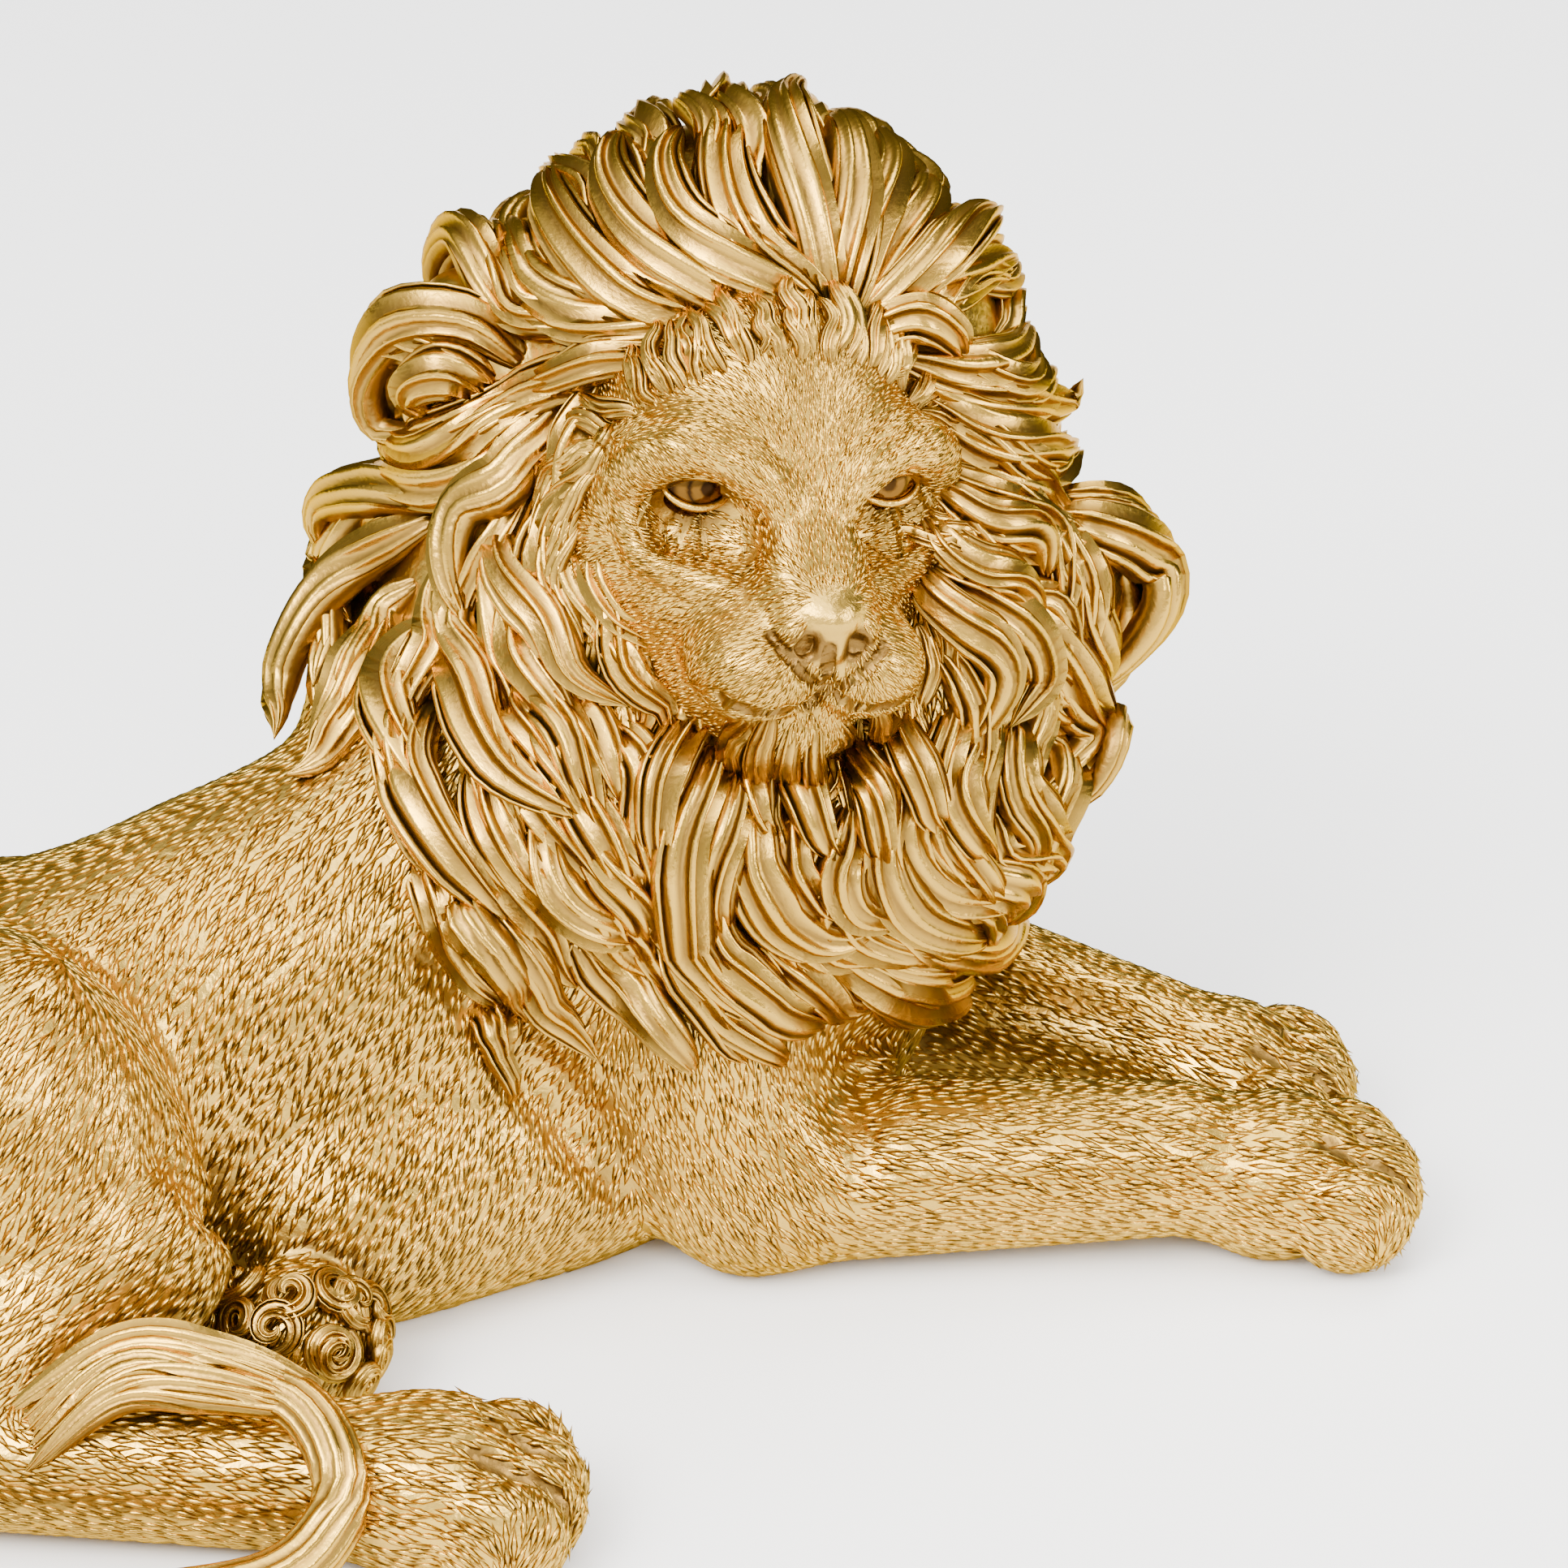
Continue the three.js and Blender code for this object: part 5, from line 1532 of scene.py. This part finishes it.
def studio_world():
    """A grey room that is bright in front and overhead, and dark behind."""
    world = bpy.data.worlds.new("studio")
    world.use_nodes = True
    nodes, links = world.node_tree.nodes, world.node_tree.links
    place = nodes.new("ShaderNodeTexCoord")
    lean = nodes.new("ShaderNodeVectorMath")
    lean.operation = "DOT_PRODUCT"
    lean.inputs[1].default_value = WORLD_BRIGHT_SIDE
    ramp = nodes.new("ShaderNodeValToRGB")
    ramp.color_ramp.interpolation = "EASE"
    for _ in WORLD_LEVELS[2:]:
        ramp.color_ramp.elements.new(0.5)
    for element, (position, level) in zip(ramp.color_ramp.elements, WORLD_LEVELS):
        element.position = position
        element.color = (level, level, level * 1.01, 1)
    half = nodes.new("ShaderNodeMath")
    half.operation = "MULTIPLY_ADD"
    half.inputs[1].default_value = 0.5
    half.inputs[2].default_value = 0.5
    links.new(place.outputs["Generated"], lean.inputs[0])
    links.new(lean.outputs["Value"], half.inputs[0])
    links.new(half.outputs[0], ramp.inputs["Fac"])
    links.new(ramp.outputs["Color"], nodes["Background"].inputs["Color"])
    nodes["Background"].inputs["Strength"].default_value = WORLD_STRENGTH
    return world


class LION_OT_studio(bpy.types.Operator):
    """Sets the floor, the soft lights and the camera"""

    bl_idname = "lion.studio"
    bl_label = "Studio"

    def execute(self, context):
        scene = context.scene
        bm = bmesh.new()
        bmesh.ops.create_grid(bm, x_segments=1, y_segments=1, size=4)
        mesh = mesh_of(bm, "floor")
        floor = placed("floor", mesh)
        paper = bpy.data.materials.new("paper")
        paper.use_nodes = True
        shader = paper.node_tree.nodes["Principled BSDF"]
        shader.inputs["Base Color"].default_value = PAPER
        shader.inputs["Roughness"].default_value = 0.9
        mesh.materials.append(paper)
        for name, place, power, size, colour in LAMPS:
            lamp = bpy.data.lights.new(name, "AREA")
            lamp.energy = power
            lamp.size = size
            lamp.color = colour
            obj = placed(name, lamp)
            obj.location = place
            obj.rotation_euler = facing(Vector(LAMP_AIM) - Vector(place))
        sky = bpy.data.lights.new("sky", "SUN")
        sky.energy = SKY_POWER
        sky.angle = math.radians(SKY_SPREAD)
        placed("sky", sky).rotation_euler = facing(SKY_WAY)
        scene.world = studio_world()
        lens = bpy.data.cameras.new("camera")
        lens.sensor_width = SENSOR
        lens.lens = VIEW_FOCUS / VIEW_WIDTH * SENSOR
        lens.clip_start = 0.05
        camera = placed("camera", lens)
        target = (VIEW_TARGET - GRID_MIDDLE) * MM
        eye = target - view_axes()[2] * VIEW_DISTANCE * MM
        camera.location = eye
        camera.rotation_euler = facing(target - eye)
        scene.camera = camera
        return {"FINISHED"}


class LION_PT_panel(bpy.types.Panel):
    bl_label = "Gold lion"
    bl_idname = "LION_PT_panel"
    bl_space_type = "VIEW_3D"
    bl_region_type = "UI"
    bl_category = "Lion"

    def draw(self, context):
        for operator in OPERATORS:
            self.layout.operator(operator.bl_idname)
        for name in GROUPS:
            group = getattr(context.scene, name)
            for key in group.bl_rna.properties.keys():
                if key not in ("rna_type", "name"):
                    self.layout.prop(group, key)


OPERATORS = [LION_OT_body, LION_OT_head, LION_OT_mane, LION_OT_tail, LION_OT_fur, LION_OT_studio]
GROUPS = {"lion_body": LionBodySettings, "lion_mane": LionManeSettings,
          "lion_fur": LionFurSettings, "lion_gold": LionGoldSettings}


def register():
    for group in (*GROUPS.values(), *OPERATORS, LION_PT_panel):
        bpy.utils.register_class(group)
    for name, group in GROUPS.items():
        setattr(bpy.types.Scene, name, bpy.props.PointerProperty(type=group))


def unregister():
    for name in GROUPS:
        delattr(bpy.types.Scene, name)
    for group in (LION_PT_panel, *reversed(OPERATORS), *GROUPS.values()):
        bpy.utils.unregister_class(group)


def main():
    register()
    bpy.ops.lion.body()
    bpy.ops.lion.head()
    bpy.ops.lion.mane()
    bpy.ops.lion.tail()
    bpy.ops.lion.fur()
    bpy.ops.lion.studio()


if __name__ == "__main__":
    main()
